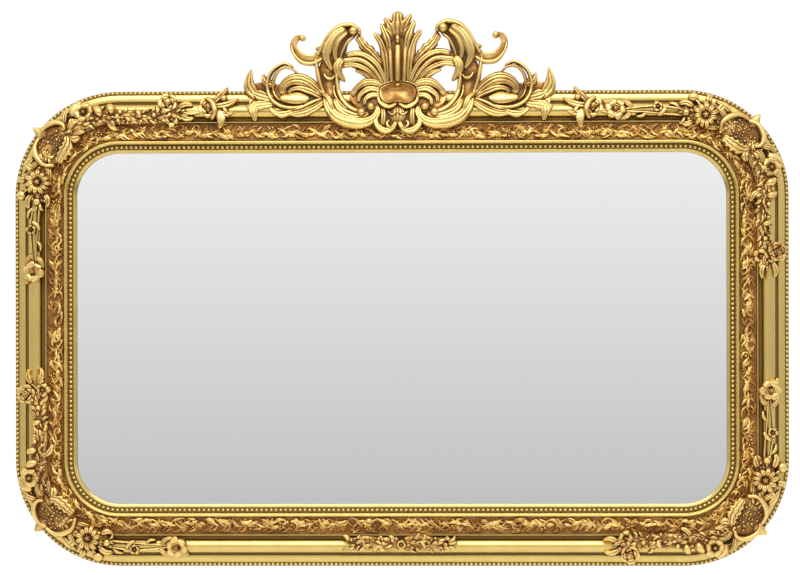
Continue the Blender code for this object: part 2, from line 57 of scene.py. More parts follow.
MM = 0.001
FRAME_LOW, FRAME_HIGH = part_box("frame_moulding")
MIDDLE_HEIGHT = (FRAME_LOW[2] + FRAME_HIGH[2]) / 2
TOP_EDGE = FRAME_HIGH[2]

# Widths of the moulding's members in millimetres, from the outer edge to the glass
MEMBERS = {
    "outer_bead": 6.4,
    "slope": 11.0,
    "narrow_groove": 5.2,
    "hump": 20.6,
    "deep_groove": 7.4,
    "edge_line": 2.2,
    "leaf_band": 28.0,
    "fillet": 7.4,
    "inner_bead": 8.6,
    "lip": 4.9,
}
INSET = dict(zip(MEMBERS, np.cumsum(list(MEMBERS.values()))))
SIGHT_INSET = INSET["lip"]
REBATE_INSET = SIGHT_INSET - 9.0
HUMP_MIDDLE = INSET["hump"] - MEMBERS["hump"] / 2
# Levels in millimetres above the wall
CASTING_BACK = 18.0
SIDE_LEVEL = 26.0
LEDGE_LEVEL = 26.0
FREE_LEVEL = 30.0
SIGHT_LEVEL = 31.0
HUMP_CROWN = 40.5
FILLET_CROWN = 49.0
# How far the thin edge of a carved form stands above what it lies on
CASTING_EDGE = 1.2
# Each form's flat back lies a hair off the last one's. It is washed with ochre, which is given as half the
# full value of the vertex attribute that also carries painted shade
BACK_STEP = 0.04
BACK_STEPS = 40
BACK_TONE = 0.5
# Millimetres between the rings of a stroke, and the fewest and most rings
STROKE_STEP = 1.6
STROKE_RINGS = (8, 60)
# Half sizes of a bead along its row, across it and outwards
OUTER_BEAD = (3.1, 2.9, 3.2)
INNER_BEAD = (3.3, 3.3, 3.6)


def linear(text):
    """A linear colour from an sRGB hex value."""
    values = [int(text[start : start + 2], 16) / 255 for start in (1, 3, 5)]
    return tuple(v / 12.92 if v <= 0.04045 else ((v + 0.055) / 1.055) ** 2.4 for v in values)


class MirrorSizes(bpy.types.PropertyGroup):
    """Sizes of the frame and its small repeated ornament."""

    corner_radius: FloatProperty(
        name="Corner radius", description="Radius of the frame's outer corners", default=0.173, unit="LENGTH"
    )
    outer_bead_pitch: FloatProperty(
        name="Outer bead pitch", description="Spacing of the outer beads", default=0.0074, unit="LENGTH"
    )
    inner_bead_pitch: FloatProperty(
        name="Inner bead pitch", description="Spacing of the inner beads", default=0.0079, unit="LENGTH"
    )
    leaf_pitch: FloatProperty(
        name="Leaf pitch", description="Spacing of the leaf band's leaves", default=0.0068, unit="LENGTH"
    )
    crest_width: FloatProperty(
        name="Crest width", description="Width between the crest's spikes", default=0.515, unit="LENGTH"
    )
    seed: IntProperty(name="Seed", description="Start of the small irregularities of hand work", default=7)


class GildingColours(bpy.types.PropertyGroup):
    """Colours of the gilding, its red ground and the back, and the colours painted as shade in its hollows
    and grooves.
    """

    panel_gold: FloatVectorProperty(
        name="Panel gold", description="Gold on plain members", subtype="COLOR", default=linear("#DEC67C")
    )
    carving_gold: FloatVectorProperty(
        name="Carving gold", description="Gold on carved crowns", subtype="COLOR", default=linear("#F0D48A")
    )
    # Bole shows where noise rubs the leaf, and is also painted as shade in the carving's recesses
    bole: FloatVectorProperty(
        name="Bole", description="Red clay under worn gold", subtype="COLOR", default=linear("#AC7A3E")
    )
    # Umber is painted shade deep in the carving's hollows and under its forms
    umber: FloatVectorProperty(
        name="Umber", description="Brown toning in the hollows", subtype="COLOR", default=linear("#65431A")
    )
    # Olive is painted shade in the moulding's grooves and at the foot of the beads, and shows where noise
    # rubs the plain gilding
    olive: FloatVectorProperty(
        name="Olive", description="Toning in plain grooves", subtype="COLOR", default=linear("#80622C")
    )


class StudioSettings(bpy.types.PropertyGroup):
    """The view and the light."""

    distance: FloatProperty(
        name="Distance", description="From the camera to the mirror", default=6.0, unit="LENGTH"
    )
    picture_width: FloatProperty(
        name="Picture width", description="Width seen at the frame", default=1.3134, unit="LENGTH"
    )
    key_power: FloatProperty(
        name="Key light", description="Power of the soft light above the camera", default=38.0, unit="POWER"
    )
    floor_colour: FloatVectorProperty(
        name="Floor", description="Pale floor", subtype="COLOR", default=linear("#F4F3F1")
    )


def add_node(tree, kind, settings=None, links=None):
    """A node with its settings and links: attributes by name, inputs by socket name or number."""
    node = tree.nodes.new(kind)
    for key, value in (settings or {}).items():
        if isinstance(key, int) or key in node.inputs:
            node.inputs[key].default_value = value
        else:
            setattr(node, key, value)
    for key, output in (links or {}).items():
        tree.links.new(output, node.inputs[key])
    return node


def new_material(name):
    material = bpy.data.materials.new(name)
    material.use_nodes = True
    material.node_tree.nodes.clear()
    return material, material.node_tree


def mixed(tree, factor, first, second):
    """A colour mix; each side is an output socket or a colour."""
    settings = {"data_type": "RGBA"}
    links = {"Factor": factor}
    for socket, value in ((6, first), (7, second)):
        if isinstance(value, bpy.types.NodeSocket):
            links[socket] = value
        else:
            settings[socket] = (*value, 1.0)
    return add_node(tree, "ShaderNodeMix", settings, links).outputs[2]


def gilded_wood(name, gold, ground, shade_colour, roughness, worn, patchy):
    """Water gilding over red bole and gesso on carved wood.

    It shows warm metal on crowns and the ochre of the clay where noise rubs the leaf. A vertex attribute of
    painted shade runs from 0 on a crown to 1 deep between the carved forms; it mixes in the ground and then a
    brown painted shade in grooves, cups and recesses, where shade falls.
    """
    material, tree = new_material(name)
    place = add_node(tree, "ShaderNodeTexCoord").outputs["Object"]
    hollow = add_node(tree, "ShaderNodeAttribute", {"attribute_name": "hollow"}).outputs["Fac"]
    # Clouds of 25 mm where the leaf lies thicker or thinner, and flecks of 1.5 mm
    clouds = add_node(
        tree, "ShaderNodeTexNoise", {"Scale": 40.0, "Detail": 3.0}, {"Vector": place}
    ).outputs["Fac"]
    flecks = add_node(
        tree, "ShaderNodeTexNoise", {"Scale": 650.0, "Detail": 2.0}, {"Vector": place}
    ).outputs["Fac"]
    ragged = add_node(
        tree, "ShaderNodeMath", {"operation": "MULTIPLY_ADD", 1: 0.35, 2: -0.175}, {0: flecks}
    ).outputs[0]
    rubbed = add_node(
        tree, "ShaderNodeMath", {"operation": "MULTIPLY_ADD", 1: -patchy, 2: patchy / 2}, {0: clouds}
    ).outputs[0]
    uneven = add_node(tree, "ShaderNodeMath", {"operation": "ADD"}, {0: rubbed, 1: ragged}).outputs[0]
    # Painted shade: the shade attribute plus the rubbing noise sets where the ground and then the dark colour
    # are painted
    shade_and_wear = add_node(tree, "ShaderNodeMath", {"operation": "ADD"}, {0: hollow, 1: uneven}).outputs[0]
    bole_wear_and_shade = add_node(
        tree, "ShaderNodeMapRange", {"From Min": 0.16 - worn, "From Max": 0.52 - worn}, {"Value": shade_and_wear}
    ).outputs[0]
    # The dark colour is painted shade, less metallic, deep in the recesses
    umber_shade_share = add_node(
        tree, "ShaderNodeMapRange", {"From Min": 0.42, "From Max": 0.85}, {"Value": shade_and_wear}
    ).outputs[0]
    deeper = tuple(value * share for value, share in zip(gold, (0.84, 0.76, 0.62)))
    leaf = mixed(tree, clouds, deeper, gold)
    colour = mixed(tree, umber_shade_share, mixed(tree, bole_wear_and_shade, leaf, ground), shade_colour)
    metallic = add_node(
        tree, "ShaderNodeMapRange", {"To Min": 1.0, "To Max": 0.25}, {"Value": umber_shade_share}
    ).outputs[0]
    rough = add_node(
        tree, "ShaderNodeMapRange", {"To Min": roughness, "To Max": roughness + 0.25}, {"Value": bole_wear_and_shade}
    ).outputs[0]
    # Brush marks and grain of the gesso, 0.1 mm deep
    bump = add_node(
        tree, "ShaderNodeBump", {"Strength": 0.25, "Distance": 0.0004}, {"Height": flecks}
    ).outputs["Normal"]
    shader = add_node(
        tree,
        "ShaderNodeBsdfPrincipled",
        {},
        {"Base Color": colour, "Metallic": metallic, "Roughness": rough, "Normal": bump},
    )
    add_node(tree, "ShaderNodeOutputMaterial", {}, {"Surface": shader.outputs[0]})
    return material


def silvered_glass():
    """Float glass silvered behind: a clear, nearly sharp reflection, a little dimmed by the glass."""
    material, tree = new_material("silvered float glass")
    place = add_node(tree, "ShaderNodeTexCoord").outputs["Object"]
    haze = add_node(
        tree, "ShaderNodeTexNoise", {"Scale": 5.0, "Detail": 2.0}, {"Vector": place}
    ).outputs["Fac"]
    rough = add_node(
        tree, "ShaderNodeMapRange", {"To Min": 0.012, "To Max": 0.03}, {"Value": haze}
    ).outputs[0]
    shader = add_node(
        tree,
        "ShaderNodeBsdfPrincipled",
        {"Base Color": (*linear("#F6F6F7"), 1.0), "Metallic": 1.0},
        {"Roughness": rough},
    )
    add_node(tree, "ShaderNodeOutputMaterial", {}, {"Surface": shader.outputs[0]})
    return material


def stained_wood(name, light, dark):
    """Sawn softwood with a brown water stain: matt, with grain lines about 4 mm apart."""
    material, tree = new_material(name)
    place = add_node(tree, "ShaderNodeTexCoord").outputs["Object"]
    stretched = add_node(tree, "ShaderNodeMapping", {"Scale": (1.0, 1.0, 9.0)}, {"Vector": place}).outputs[0]
    grain = add_node(
        tree, "ShaderNodeTexNoise", {"Scale": 28.0, "Detail": 5.0, "Distortion": 0.6}, {"Vector": stretched}
    ).outputs["Fac"]
    share = add_node(
        tree, "ShaderNodeMapRange", {"From Min": 0.35, "From Max": 0.65}, {"Value": grain}
    ).outputs[0]
    colour = mixed(tree, share, dark, light)
    bump = add_node(
        tree, "ShaderNodeBump", {"Strength": 0.3, "Distance": 0.0005}, {"Height": grain}
    ).outputs["Normal"]
    shader = add_node(
        tree, "ShaderNodeBsdfPrincipled", {"Roughness": 0.68}, {"Base Color": colour, "Normal": bump}
    )
    add_node(tree, "ShaderNodeOutputMaterial", {}, {"Surface": shader.outputs[0]})
    return material


def material_named(name):
    """The material of that name, made on first use."""
    if name in bpy.data.materials:
        return bpy.data.materials[name]
    colours = bpy.context.scene.gilding_colours
    parts = ("panel_gold", "carving_gold", "bole", "umber", "olive")
    panel, carved, bole, umber, olive = (tuple(getattr(colours, part)) for part in parts)
    # Each gilding paints its ground and then its dark colour as shade where the vertex attribute of painted
    # shade is high; worn lowers the start of the ground, so rubbed leaf gilding shows more of it where noise
    # rubs the leaf and where shade is painted.
    gildings = {
        "burnished gilding": (panel, olive, olive, 0.30, 0.0, 0.15),
        "gilded carving": (carved, bole, umber, 0.33, 0.0, 0.9),
        "rubbed leaf gilding": (carved, bole, umber, 0.36, 0.12, 0.9),
    }
    woods = {"stained softwood": ("#8A6A48", "#5E4228"), "brown backing board": ("#A58660", "#866744")}
    if name in gildings:
        return gilded_wood(name, *gildings[name])
    if name in woods:
        return stained_wood(name, *map(linear, woods[name]))
    if name == "silvered float glass":
        return silvered_glass()
    raise ValueError(f"no material called {name}")


def outer_section(radius):
    """Half width and half height, in millimetres, of the arcs' centres."""
    half_width = (FRAME_HIGH[0] - FRAME_LOW[0]) / 2 / MM - radius
    half_height = (FRAME_HIGH[2] - FRAME_LOW[2]) / 2 / MM - radius
    return half_width, half_height


class Track:
    """A line round the frame at one inset. It turns runs along the line into places at any inset."""

    def __init__(self, radius, inset):
        self.radius = radius
        self.across, self.up = outer_section(radius)
        self.arc = (radius - inset) * math.pi / 2
        half_round = (self.across, self.arc, 2 * self.up, self.arc)
        self.ends = np.cumsum((*half_round, 2 * self.across, *half_round[1:], self.across))
        self.length = self.ends[-1]

    def station(self, run):
        """Arc centre and outward direction at a run, clockwise from the top's middle as seen in front."""
        run = run % self.length
        index = min(int(np.searchsorted(self.ends, run, side="right")), len(self.ends) - 1)
        done = run - (self.ends[index - 1] if index else 0.0)
        quarter = index // 2
        turn = math.pi / 2 * (quarter + (done / self.arc if index % 2 else 0.0))
        if index == 0:
            centre = (done, self.up)
        elif index == 8:
            centre = (-self.across + done, self.up)
        else:
            corners = ((1, 1), (1, -1), (-1, -1), (-1, 1))
            side, rise = corners[(index - 1) // 2]
            centre = (side * self.across, rise * self.up)
            if index % 2 == 0:
                ahead = ((0, -1), (-1, 0), (0, 1))[index // 2 - 1]
                centre = (centre[0] + ahead[0] * done, centre[1] + ahead[1] * done)
        return centre[0], centre[1], math.sin(turn), math.cos(turn)

    def place(self, run, inset):
        across, up, sine, cosine = self.station(run)
        reach = self.radius - inset
        return (across + reach * sine) * MM, MIDDLE_HEIGHT + (up + reach * cosine) * MM


def inset_of(x, z, radius):
    """How far points lie inside the frame's outer edge, in millimetres."""
    half_width, half_height = outer_section(radius)
    across = np.abs(x) / MM - half_width
    up = np.abs(z - MIDDLE_HEIGHT) / MM - half_height
    outside = np.hypot(np.maximum(across, 0.0), np.maximum(up, 0.0))
    return radius - outside - np.minimum(np.maximum(across, up), 0.0)


def seat_level(x, z, radius):
    """Level of the surface that a casting rests on, in millimetres above the wall."""
    insets = (-20.0, 0.0, HUMP_MIDDLE, INSET["leaf_band"], INSET["fillet"], SIGHT_INSET)
    levels = (FREE_LEVEL, SIDE_LEVEL + 3.6, HUMP_CROWN, FILLET_CROWN, FILLET_CROWN, SIGHT_LEVEL)
    return np.interp(inset_of(x, z, radius), insets, levels)


def curve_between(before, start, end, after, t):
    """The smooth curve from start to end at t, led by the points before and after them."""
    return 0.5 * (
        2 * start
        + (end - before) * t
        + (2 * before - 5 * start + 4 * end - after) * t**2
        + (3 * start - before - 3 * end + after) * t**3
    )


def smooth_path(points, steps):
    """Points along a smooth curve through the given ones, evenly spaced."""
    points = np.array(points, float)
    padded = np.vstack((2 * points[0] - points[1], points, 2 * points[-1] - points[-2]))
    shares = np.linspace(0.0, 1.0, 12, endpoint=False)
    found = []
    for before, start, end, after in zip(padded, padded[1:], padded[2:], padded[3:]):
        found += [curve_between(before, start, end, after, t) for t in shares]
    found.append(points[-1])
    found = np.array(found)
    walked = np.concatenate(([0.0], np.cumsum(np.linalg.norm(np.diff(found, axis=0), axis=1))))
    runs = np.linspace(0.0, walked[-1], steps)
    return np.column_stack([np.interp(runs, walked, found[:, axis]) for axis in (0, 1)]), walked[-1]
def ring_faces(first, rows, columns):
    """The faces of closed rings in a row, capped at both ends; first is the number of their first point."""
    index = first + np.arange(rows * columns).reshape(rows, columns)
    after = np.roll(index, -1, axis=1)
    quads = np.stack((index[:-1], index[1:], after[1:], after[:-1]), axis=-1)
    return [*quads.reshape(-1, 4).tolist(), index[0].tolist(), index[-1][::-1].tolist()]
class Carving:
    """Gathers the closed forms of one carved piece, with the painted shade of each vertex, darker in its
    hollows.
    """

    def __init__(self, place, radius):
        self.place = place
        self.radius = radius
        self.points = []
        self.faces = []
        self.hollow = []
        self.count = 0
        self.forms = 0

    def next_back(self):
        """The level of the next form's flat back, off the last one's so that no two backs share a plane."""
        self.forms += 1
        return CASTING_BACK - BACK_STEP * (self.forms % BACK_STEPS)

    def rings(self, points, hollow):
        """Adds one form: closed rings in a row. points is rings by points by three."""
        rows, columns = points.shape[:2]
        self.faces += ring_faces(self.count, rows, columns)
        self.points.append(points.reshape(-1, 3))
        self.hollow.append(np.broadcast_to(hollow, (rows, columns)).reshape(-1))
        self.count += rows * columns

    def strokes(self, rows):
        """Strokes from a drawing's rows: the line, its widths, its rise and how it is carved."""
        for points, widths, rise, carving in rows:
            self.stroke(points, widths, rise, **carving)

    def stroke(
        self, points, widths, rise,
        ribs=1, groove=0.3, cup=0.0, lobes=0, lobe=0.16, lift=(0.0, 0.0), shade=0.0,
    ):
        """A carved scroll, leaf or petal along a curve drawn in millimetres.

        ribs are the rounded strands across it and groove how deep the lines between them go; cup hollows its
        middle; lobes cut its edges; lift raises its start and end; shade adds painted shade all over it, as
        in a recess.
        """
        step = STROKE_STEP
        path, length = smooth_path(points, int(np.clip(length_of(points) / step, *STROKE_RINGS)))
        share = np.linspace(0.0, 1.0, len(path))
        along = np.gradient(path, axis=0)
        along /= np.linalg.norm(along, axis=1)[:, None]
        across = np.column_stack((-along[:, 1], along[:, 0]))
        half = np.interp(share, (0.0, 0.5, 1.0), widths) / 2
        round_end = np.clip(np.minimum(share, 1 - share) * length / np.maximum(half, 0.8), 0.0, 1.0)
        round_end = np.sqrt(1 - (1 - round_end) ** 2)
        if lobes:
            wave = (share * lobes) % 1.0
            half = half * (1 + lobe * (np.minimum(wave / 0.75, (1 - wave) / 0.25) - 0.6))
        half = half * (0.25 + 0.75 * round_end)
        swell = 0.55 + 0.45 * np.sin(math.pi * np.clip(share * 0.9 + 0.1, 0, 1))
        crown = rise * swell * (0.2 + 0.8 * round_end)
        crown = crown + np.interp(share, (0.0, 0.6, 1.0), (lift[0], 0.0, lift[1]))

        steps = np.array((0.0, 0.16, 0.5, 0.84))
        u = np.concatenate([(rib + steps) / ribs for rib in range(ribs)] + [[1.0]]) * 2 - 1
        ridge = np.abs(np.sin(math.pi * (u + 1) / 2 * ribs)) ** 0.6
        ridge = np.where(np.abs(u) > 0.999, 1.0, ridge)
        dome = np.sqrt(np.clip(1 - np.abs(u) ** 2.6, 0.0, 1.0))
        bowl = 1 - cup * (1 - np.abs(u) ** 1.6)
        section = dome * bowl * (1 - groove * (1 - ridge))
        if cup:
            section = np.where(np.abs(u) > 0.999, 0.55, section)

        sides = np.concatenate(([-0.86], u, [0.86]))
        places = path[:, None, :] + across[:, None, :] * (half[:, None] * sides)[:, :, None]
        x, z = self.place(places[..., 0], places[..., 1])
        seat = seat_level(x, z, self.radius) + CASTING_EDGE
        level = seat.copy()
        level[:, 1:-1] += crown[:, None] * section
        level[:, 0] = level[:, -1] = self.next_back()
        # Painted shade: darker in the lines between ribs, on the sloping edges and in the middle of a cup;
        # the back gets the ochre wash
        hollow = np.zeros(len(sides))
        hollow[1:-1] = 0.5 * (1 - ridge) ** 1.5 + 0.3 * (1 - dome) + cup * 0.45 * (1 - np.abs(u))
        hollow[0] = hollow[-1] = BACK_TONE
        self.rings(np.stack((x, -level * MM, z), axis=-1), np.clip(hollow + shade, 0.0, 1.0))

    def panel(self, outline, rise, dish, shade):
        """A filled shape in a smooth closed outline; dish sinks its middle, or raises it when negative."""
        points = np.array(outline, float)
        t = np.linspace(0.0, 1.0, 6, endpoint=False)[:, None]
        ring = []
        for index in range(len(points)):
            before, start, end, after = (points[(index + step) % len(points)] for step in (-1, 0, 1, 2))
            ring.append(curve_between(before, start, end, after, t))
        ring = np.vstack(ring)
        middle = ring.mean(axis=0)
        scales = np.array((1.0, 1.0, 0.96, 0.86, 0.7, 0.5, 0.28, 0.08))
        places = middle + (ring - middle) * scales[:, None, None]
        x, z = self.place(places[..., 0], places[..., 1])
        level = seat_level(x, z, self.radius) + CASTING_EDGE
        level[0] = self.next_back()
        level[2:] += rise * (1 - dish * (1 - scales[2:, None] ** 2.5))
        # Painted shade: the shade given, deeper towards the middle of a dished panel
        hollow = np.clip(shade + (0.2 * dish if dish > 0 else 0.0) * (1 - scales), 0.0, 1.0)
        self.rings(np.stack((x, -level * MM, z), axis=-1), hollow[:, None] * np.ones(len(ring)))

    def boss(self, centre, radius, rise, sides=14, shade=0.0):
        """A round bud, berry or scroll end: a dome on a drum."""
        angles = np.linspace(0.0, 2 * math.pi, sides, endpoint=False)
        shares = np.array((1.0, 1.0, 0.92, 0.72, 0.42, 0.12))
        heights = np.array((0.0, 0.15, 0.5, 0.8, 0.95, 1.0))
        a = centre[0] + radius * shares[:, None] * np.cos(angles)
        b = centre[1] + radius * shares[:, None] * np.sin(angles)
        x, z = self.place(a, b)
        middle_x, middle_z = self.place(np.array(centre[0]), np.array(centre[1]))
        seat = float(seat_level(middle_x, middle_z, self.radius))
        level = np.broadcast_to((seat + rise * heights)[:, None], x.shape).copy()
        level[0] = self.next_back()
        # Painted shade: the drum at the foot of the dome is darker, and shade adds painted shade all over;
        # the back gets the ochre wash
        hollow = np.array((BACK_TONE, 0.6, 0.25, 0.0, 0.0, 0.0))[:, None] + shade
        self.rings(np.stack((x, -level * MM, z), axis=-1), np.clip(hollow, 0.0, 1.0) * np.ones(sides))

    def flower(self, centre, radius, petals, rise, turn=0.0):
        """An open flower: separate bowed petals, long and short by turns, round a heart of small seeds."""
        width = min(1.75 * math.pi * radius / petals, radius * 0.78)
        for petal in range(petals):
            angle = turn + 2 * math.pi * petal / petals
            direction = np.array((math.cos(angle), math.sin(angle)))
            sideways = np.array((-direction[1], direction[0])) * radius * 0.06
            reach = radius * (1.0 if petal % 2 else 0.9)
            path = [np.array(centre) + direction * reach * 0.15]
            path.append(np.array(centre) + direction * reach * 0.6 + sideways)
            path.append(np.array(centre) + direction * reach)
            lift = (-rise * 0.3, -rise * 0.15 * (petal % 2))
            if petals > 8:
                self.stroke(path, (width * 0.4, width, width * 0.6), rise, ribs=2, groove=0.15, lift=lift)
            else:
                self.stroke(path, (width * 0.4, width, width * 0.75), rise, cup=0.4, lobes=2, lift=lift)
        heart = radius * (0.26 if petals > 6 else 0.2)
        self.boss(centre, heart, rise * 0.85, shade=0.12)
        for seed in range(5):
            angle = turn + 2 * math.pi * seed / 5
            spot = np.array(centre) + np.array((math.cos(angle), math.sin(angle))) * heart * 0.6
            self.boss(spot, heart * 0.35, rise * 0.95, sides=8)

    def rose(self, centre, radius, rise, turn=0.0):
        """A full rose: three rings of overlapping petals, each ring higher and smaller."""
        for ring, (share, height, petals) in enumerate(((1.0, 0.7, 5), (0.68, 0.9, 4), (0.38, 1.05, 3))):
            for petal in range(petals):
                angle = turn + ring * 0.6 + 2 * math.pi * petal / petals
                outward = np.array((math.cos(angle), math.sin(angle)))
                sideways = np.array((-outward[1], outward[0]))
                reach = radius * share
                path = [
                    np.array(centre) + outward * reach * 0.62 - sideways * reach * 0.62,
                    np.array(centre) + outward * reach * 0.95,
                    np.array(centre) + outward * reach * 0.62 + sideways * reach * 0.62,
                ]
                self.stroke(path, (reach * 0.3, reach * 0.5, reach * 0.3), rise * height, cup=0.3)
        self.boss(centre, radius * 0.6, rise * 0.6, shade=0.3)

    def sprig(self, points, spacing, length, rise, random):
        """Three low stems side by side, thick with soft leaves and with berries between them."""
        stem = np.array(points, float)
        for offset, shade in ((-6.0, 0.3), (6.0, 0.3), (0.0, 0.1)):
            beside = stem + np.array((0.0, offset))
            self.stroke(beside, (12.0, 13.0, 8.0), rise * 0.45, ribs=2, groove=0.15, shade=shade)
        path = smooth_path(points, max(3, int(length_of(points) / spacing)))[0]
        for index in range(1, len(path)):
            ahead = path[index] - path[index - 1]
            heading = math.atan2(ahead[1], ahead[0])
            aside = np.array((-math.sin(heading), math.cos(heading)))
            for side in (-1, 1, 0):
                size = length * random.uniform(0.6, 1.05)
                turn = side * random.uniform(0.2, 1.1) if side else random.uniform(-0.5, 0.5)
                angle = heading + turn + (math.pi if random.random() < 0.25 else 0.0)
                height = rise * random.uniform(0.6, 1.1) * (1.0 if side else 1.25)
                root = path[index] + aside * side * random.uniform(1.0, 6.0)
                wide = size * random.uniform(0.42, 0.6)
                bend = random.uniform(-0.5, 0.5)
                self.soft_leaf(root, angle, size, wide, height, bend, random.uniform(0.0, 0.45))
            reach = random.uniform(6.0, 12.0)
            angle = heading + random.choice((-1, 1)) * random.uniform(0.9, 1.9)
            spot = path[index] + np.array((math.cos(angle), math.sin(angle))) * reach
            self.boss(spot, random.uniform(2.4, 3.8), rise * random.uniform(0.8, 1.2), sides=10)

    def soft_leaf(self, start, direction, length, width, rise, bend, shade):
        """A plump leaf, veined with notched edges where it is shaded and plain where it is light."""
        along = np.array((math.cos(direction), math.sin(direction)))
        side = np.array((-along[1], along[0]))
        start = np.array(start, float)
        path = [start, start + along * length * 0.5 + side * length * bend * 0.5, start + along * length]
        carving = VEINED if shade > 0.2 else {}
        self.stroke(path, (width * 0.5, width, width * 0.2), rise, groove=0.2, shade=shade * 0.6, **carving)

    def object(self, name, material):
        obj = mesh_object(name, np.vstack(self.points), self.faces, np.concatenate(self.hollow), material)
        paint_occlusion_shade(obj)
        return obj


def length_of(points):
    return float(np.linalg.norm(np.diff(np.array(points, float), axis=0), axis=1).sum())


def mesh_object(name, points, faces, hollow, material):
    """An object with a smooth mesh and its vertex attribute of painted shade and tone, riding on the mirror's
    one body.
    """
    mesh = bpy.data.meshes.new(name)
    mesh.from_pydata(points.tolist(), [], faces)
    mesh.attributes.new("hollow", "FLOAT", "POINT").data.foreach_set("value", np.array(hollow, np.float32))
    mesh.shade_smooth()
    mesh.materials.append(material_named(material))
    obj = bpy.data.objects.new(name, mesh)
    bpy.context.scene.collection.objects.link(obj)
    outward(mesh)
    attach(obj, "root")
    return obj


def outward(mesh):
    """Turns every closed form's faces outwards."""
    bm = bmesh.new()
    bm.from_mesh(mesh)
    bmesh.ops.recalc_face_normals(bm, faces=bm.faces)
    bm.to_mesh(mesh)
    bm.free()


def paint_occlusion_shade(obj, reach=11.0, rays=10):
    """Painted shade: adds to each vertex's shade value how much of its open side is closed in by the carving
    round it, so the colour darkens where light would be blocked.
    """
    mesh = obj.data
    tree = BVHTree.FromPolygons([v.co for v in mesh.vertices], [p.vertices[:] for p in mesh.polygons])
    golden_angle = math.pi * (3 - math.sqrt(5))
    local = []
    for index in range(rays):
        height = 0.25 + 0.75 * (index + 0.5) / rays
        flat = math.sqrt(1 - height * height)
        around = golden_angle * index
        local.append(Vector((flat * math.cos(around), flat * math.sin(around), height)))
    values = np.empty(len(mesh.vertices), np.float32)
    attribute = mesh.attributes["hollow"]
    attribute.data.foreach_get("value", values)
    for index, vertex in enumerate(mesh.vertices):
        normal = vertex.normal
        if normal.y > 0.5:
            continue
        turn = Vector((0, 0, 1)).rotation_difference(normal)
        start = vertex.co + normal * 0.0004
        hits = 0.0
        for direction in local:
            distance = tree.ray_cast(start, turn @ direction, reach * MM)[3]
            if distance is not None:
                hits += 1 - 0.5 * distance / (reach * MM)
        values[index] = min(1.0, values[index] * 0.6 + 1.15 * hits / len(local))
    attribute.data.foreach_set("value", values)


def arc_points(start, end, low_start, low_end, rise, steps, fullness):
    """(inset, level) points over a rounded member, its first end left out."""
    share = np.arange(1, steps) / steps
    level = low_start + (low_end - low_start) * share + rise * np.sin(math.pi * share) ** fullness
    return [(inset, height, 0.0) for inset, height in zip(start + (end - start) * share, level)]


def moulding_section():
    """The rail's section in millimetres: inset, level and the painted shade of each point, darkest in the
    grooves.
    """
    slope, groove, hump, deep, line, band, fillet, cove, lip = (INSET[name] for name in list(MEMBERS)[:-1])
    points = [(0.0, 0.0, 0.2), (0.0, 24.6, 0.2), (0.3, 25.8, 0.3), (0.6, 26.2, 0.8), (slope - 0.3, 26.8, 0.8)]
    points += [(slope, 28.0, 0.3), (slope + 0.5, 28.5, 0.0), (groove - 0.6, 30.8, 0.0), (groove, 30.6, 0.1)]
    points += [(groove + 0.6, 29.6, 0.6), (groove + 1.4, 27.8, 0.9), (hump - 1.2, 27.8, 0.95)]
    points += [(hump - 0.5, 30.4, 0.7), (hump, 34.4, 0.3)]
    points += arc_points(hump, deep, 34.8, 34.8, 5.7, 20, 0.9)
    points += [(deep, 34.4, 0.2), (deep + 0.6, 31.6, 0.5), (deep + 1.4, 30.2, 0.6), (line - 2.0, 30.2, 0.6)]
    points += [(line - 1.2, 32.0, 0.5), (line - 0.5, 37.4, 0.3), (line, 39.3, 0.0)]
    points += [(line + 0.5, 40.0, 0.0), (band - 0.4, 40.0, 0.0), (band, 39.4, 0.3)]
    points += [(band + 0.5, 37.6, 0.65), (band + 3.0, 36.4, 0.62), (band + 10.0, 36.8, 0.58)]
    points += [(band + 18.0, 39.4, 0.5), (fillet - 2.0, 42.4, 0.5), (fillet - 0.4, 43.4, 0.7)]
    points += [(fillet, 43.5, 0.6), (fillet + 0.5, 44.4, 0.2)]
    points += arc_points(fillet + 0.6, cove, 44.6, 41.8, 4.6, 12, 0.7)
    points += [(cove, 41.6, 0.35), (cove + 0.4, 39.6, 0.65), (cove + 1.6, 38.4, 0.7), (cove + 5.6, 37.6, 0.7)]
    points += [(lip - 0.9, 37.6, 0.65), (lip - 0.2, 38.8, 0.3), (lip + 0.4, 39.1, 0.0)]
    points += [(lip + 1.2, 38.4, 0.0), (SIGHT_INSET - 0.6, 32.0, 0.0), (SIGHT_INSET, SIGHT_LEVEL, 0.2)]
    points += [(SIGHT_INSET, LEDGE_LEVEL, 0.6), (REBATE_INSET, LEDGE_LEVEL, 0.8), (REBATE_INSET, 0.0, 0.8)]
    return points


def swept(name, section, material):
    """A section swept once round the frame."""
    radius = bpy.context.scene.mirror_sizes.corner_radius / MM
    track = Track(radius, 50.0)
    corner_steps = 28
    runs = []
    edges = [0.0, *track.ends]
    for index, (first, second) in enumerate(zip(edges, edges[1:])):
        steps = corner_steps if index % 2 else 6
        runs.extend(np.linspace(first, second, steps, endpoint=False))
    places = [[(*track.place(run, inset), level) for inset, level, hollow in section] for run in runs]
    points = np.array(places)
    points = np.stack((points[..., 0], -points[..., 2] * MM, points[..., 1]), axis=-1)
    rows, columns = points.shape[:2]
    index = np.arange(rows * columns).reshape(rows, columns)
    around = np.roll(index, -1, axis=1)
    ahead = np.roll(index, -1, axis=0)
    faces = np.stack((index, around, np.roll(around, -1, axis=0), ahead), axis=-1).reshape(-1, 4)
    hollow = np.tile([value for inset, level, value in section], rows)
    return mesh_object(name, points.reshape(-1, 3), faces.tolist(), hollow, material)


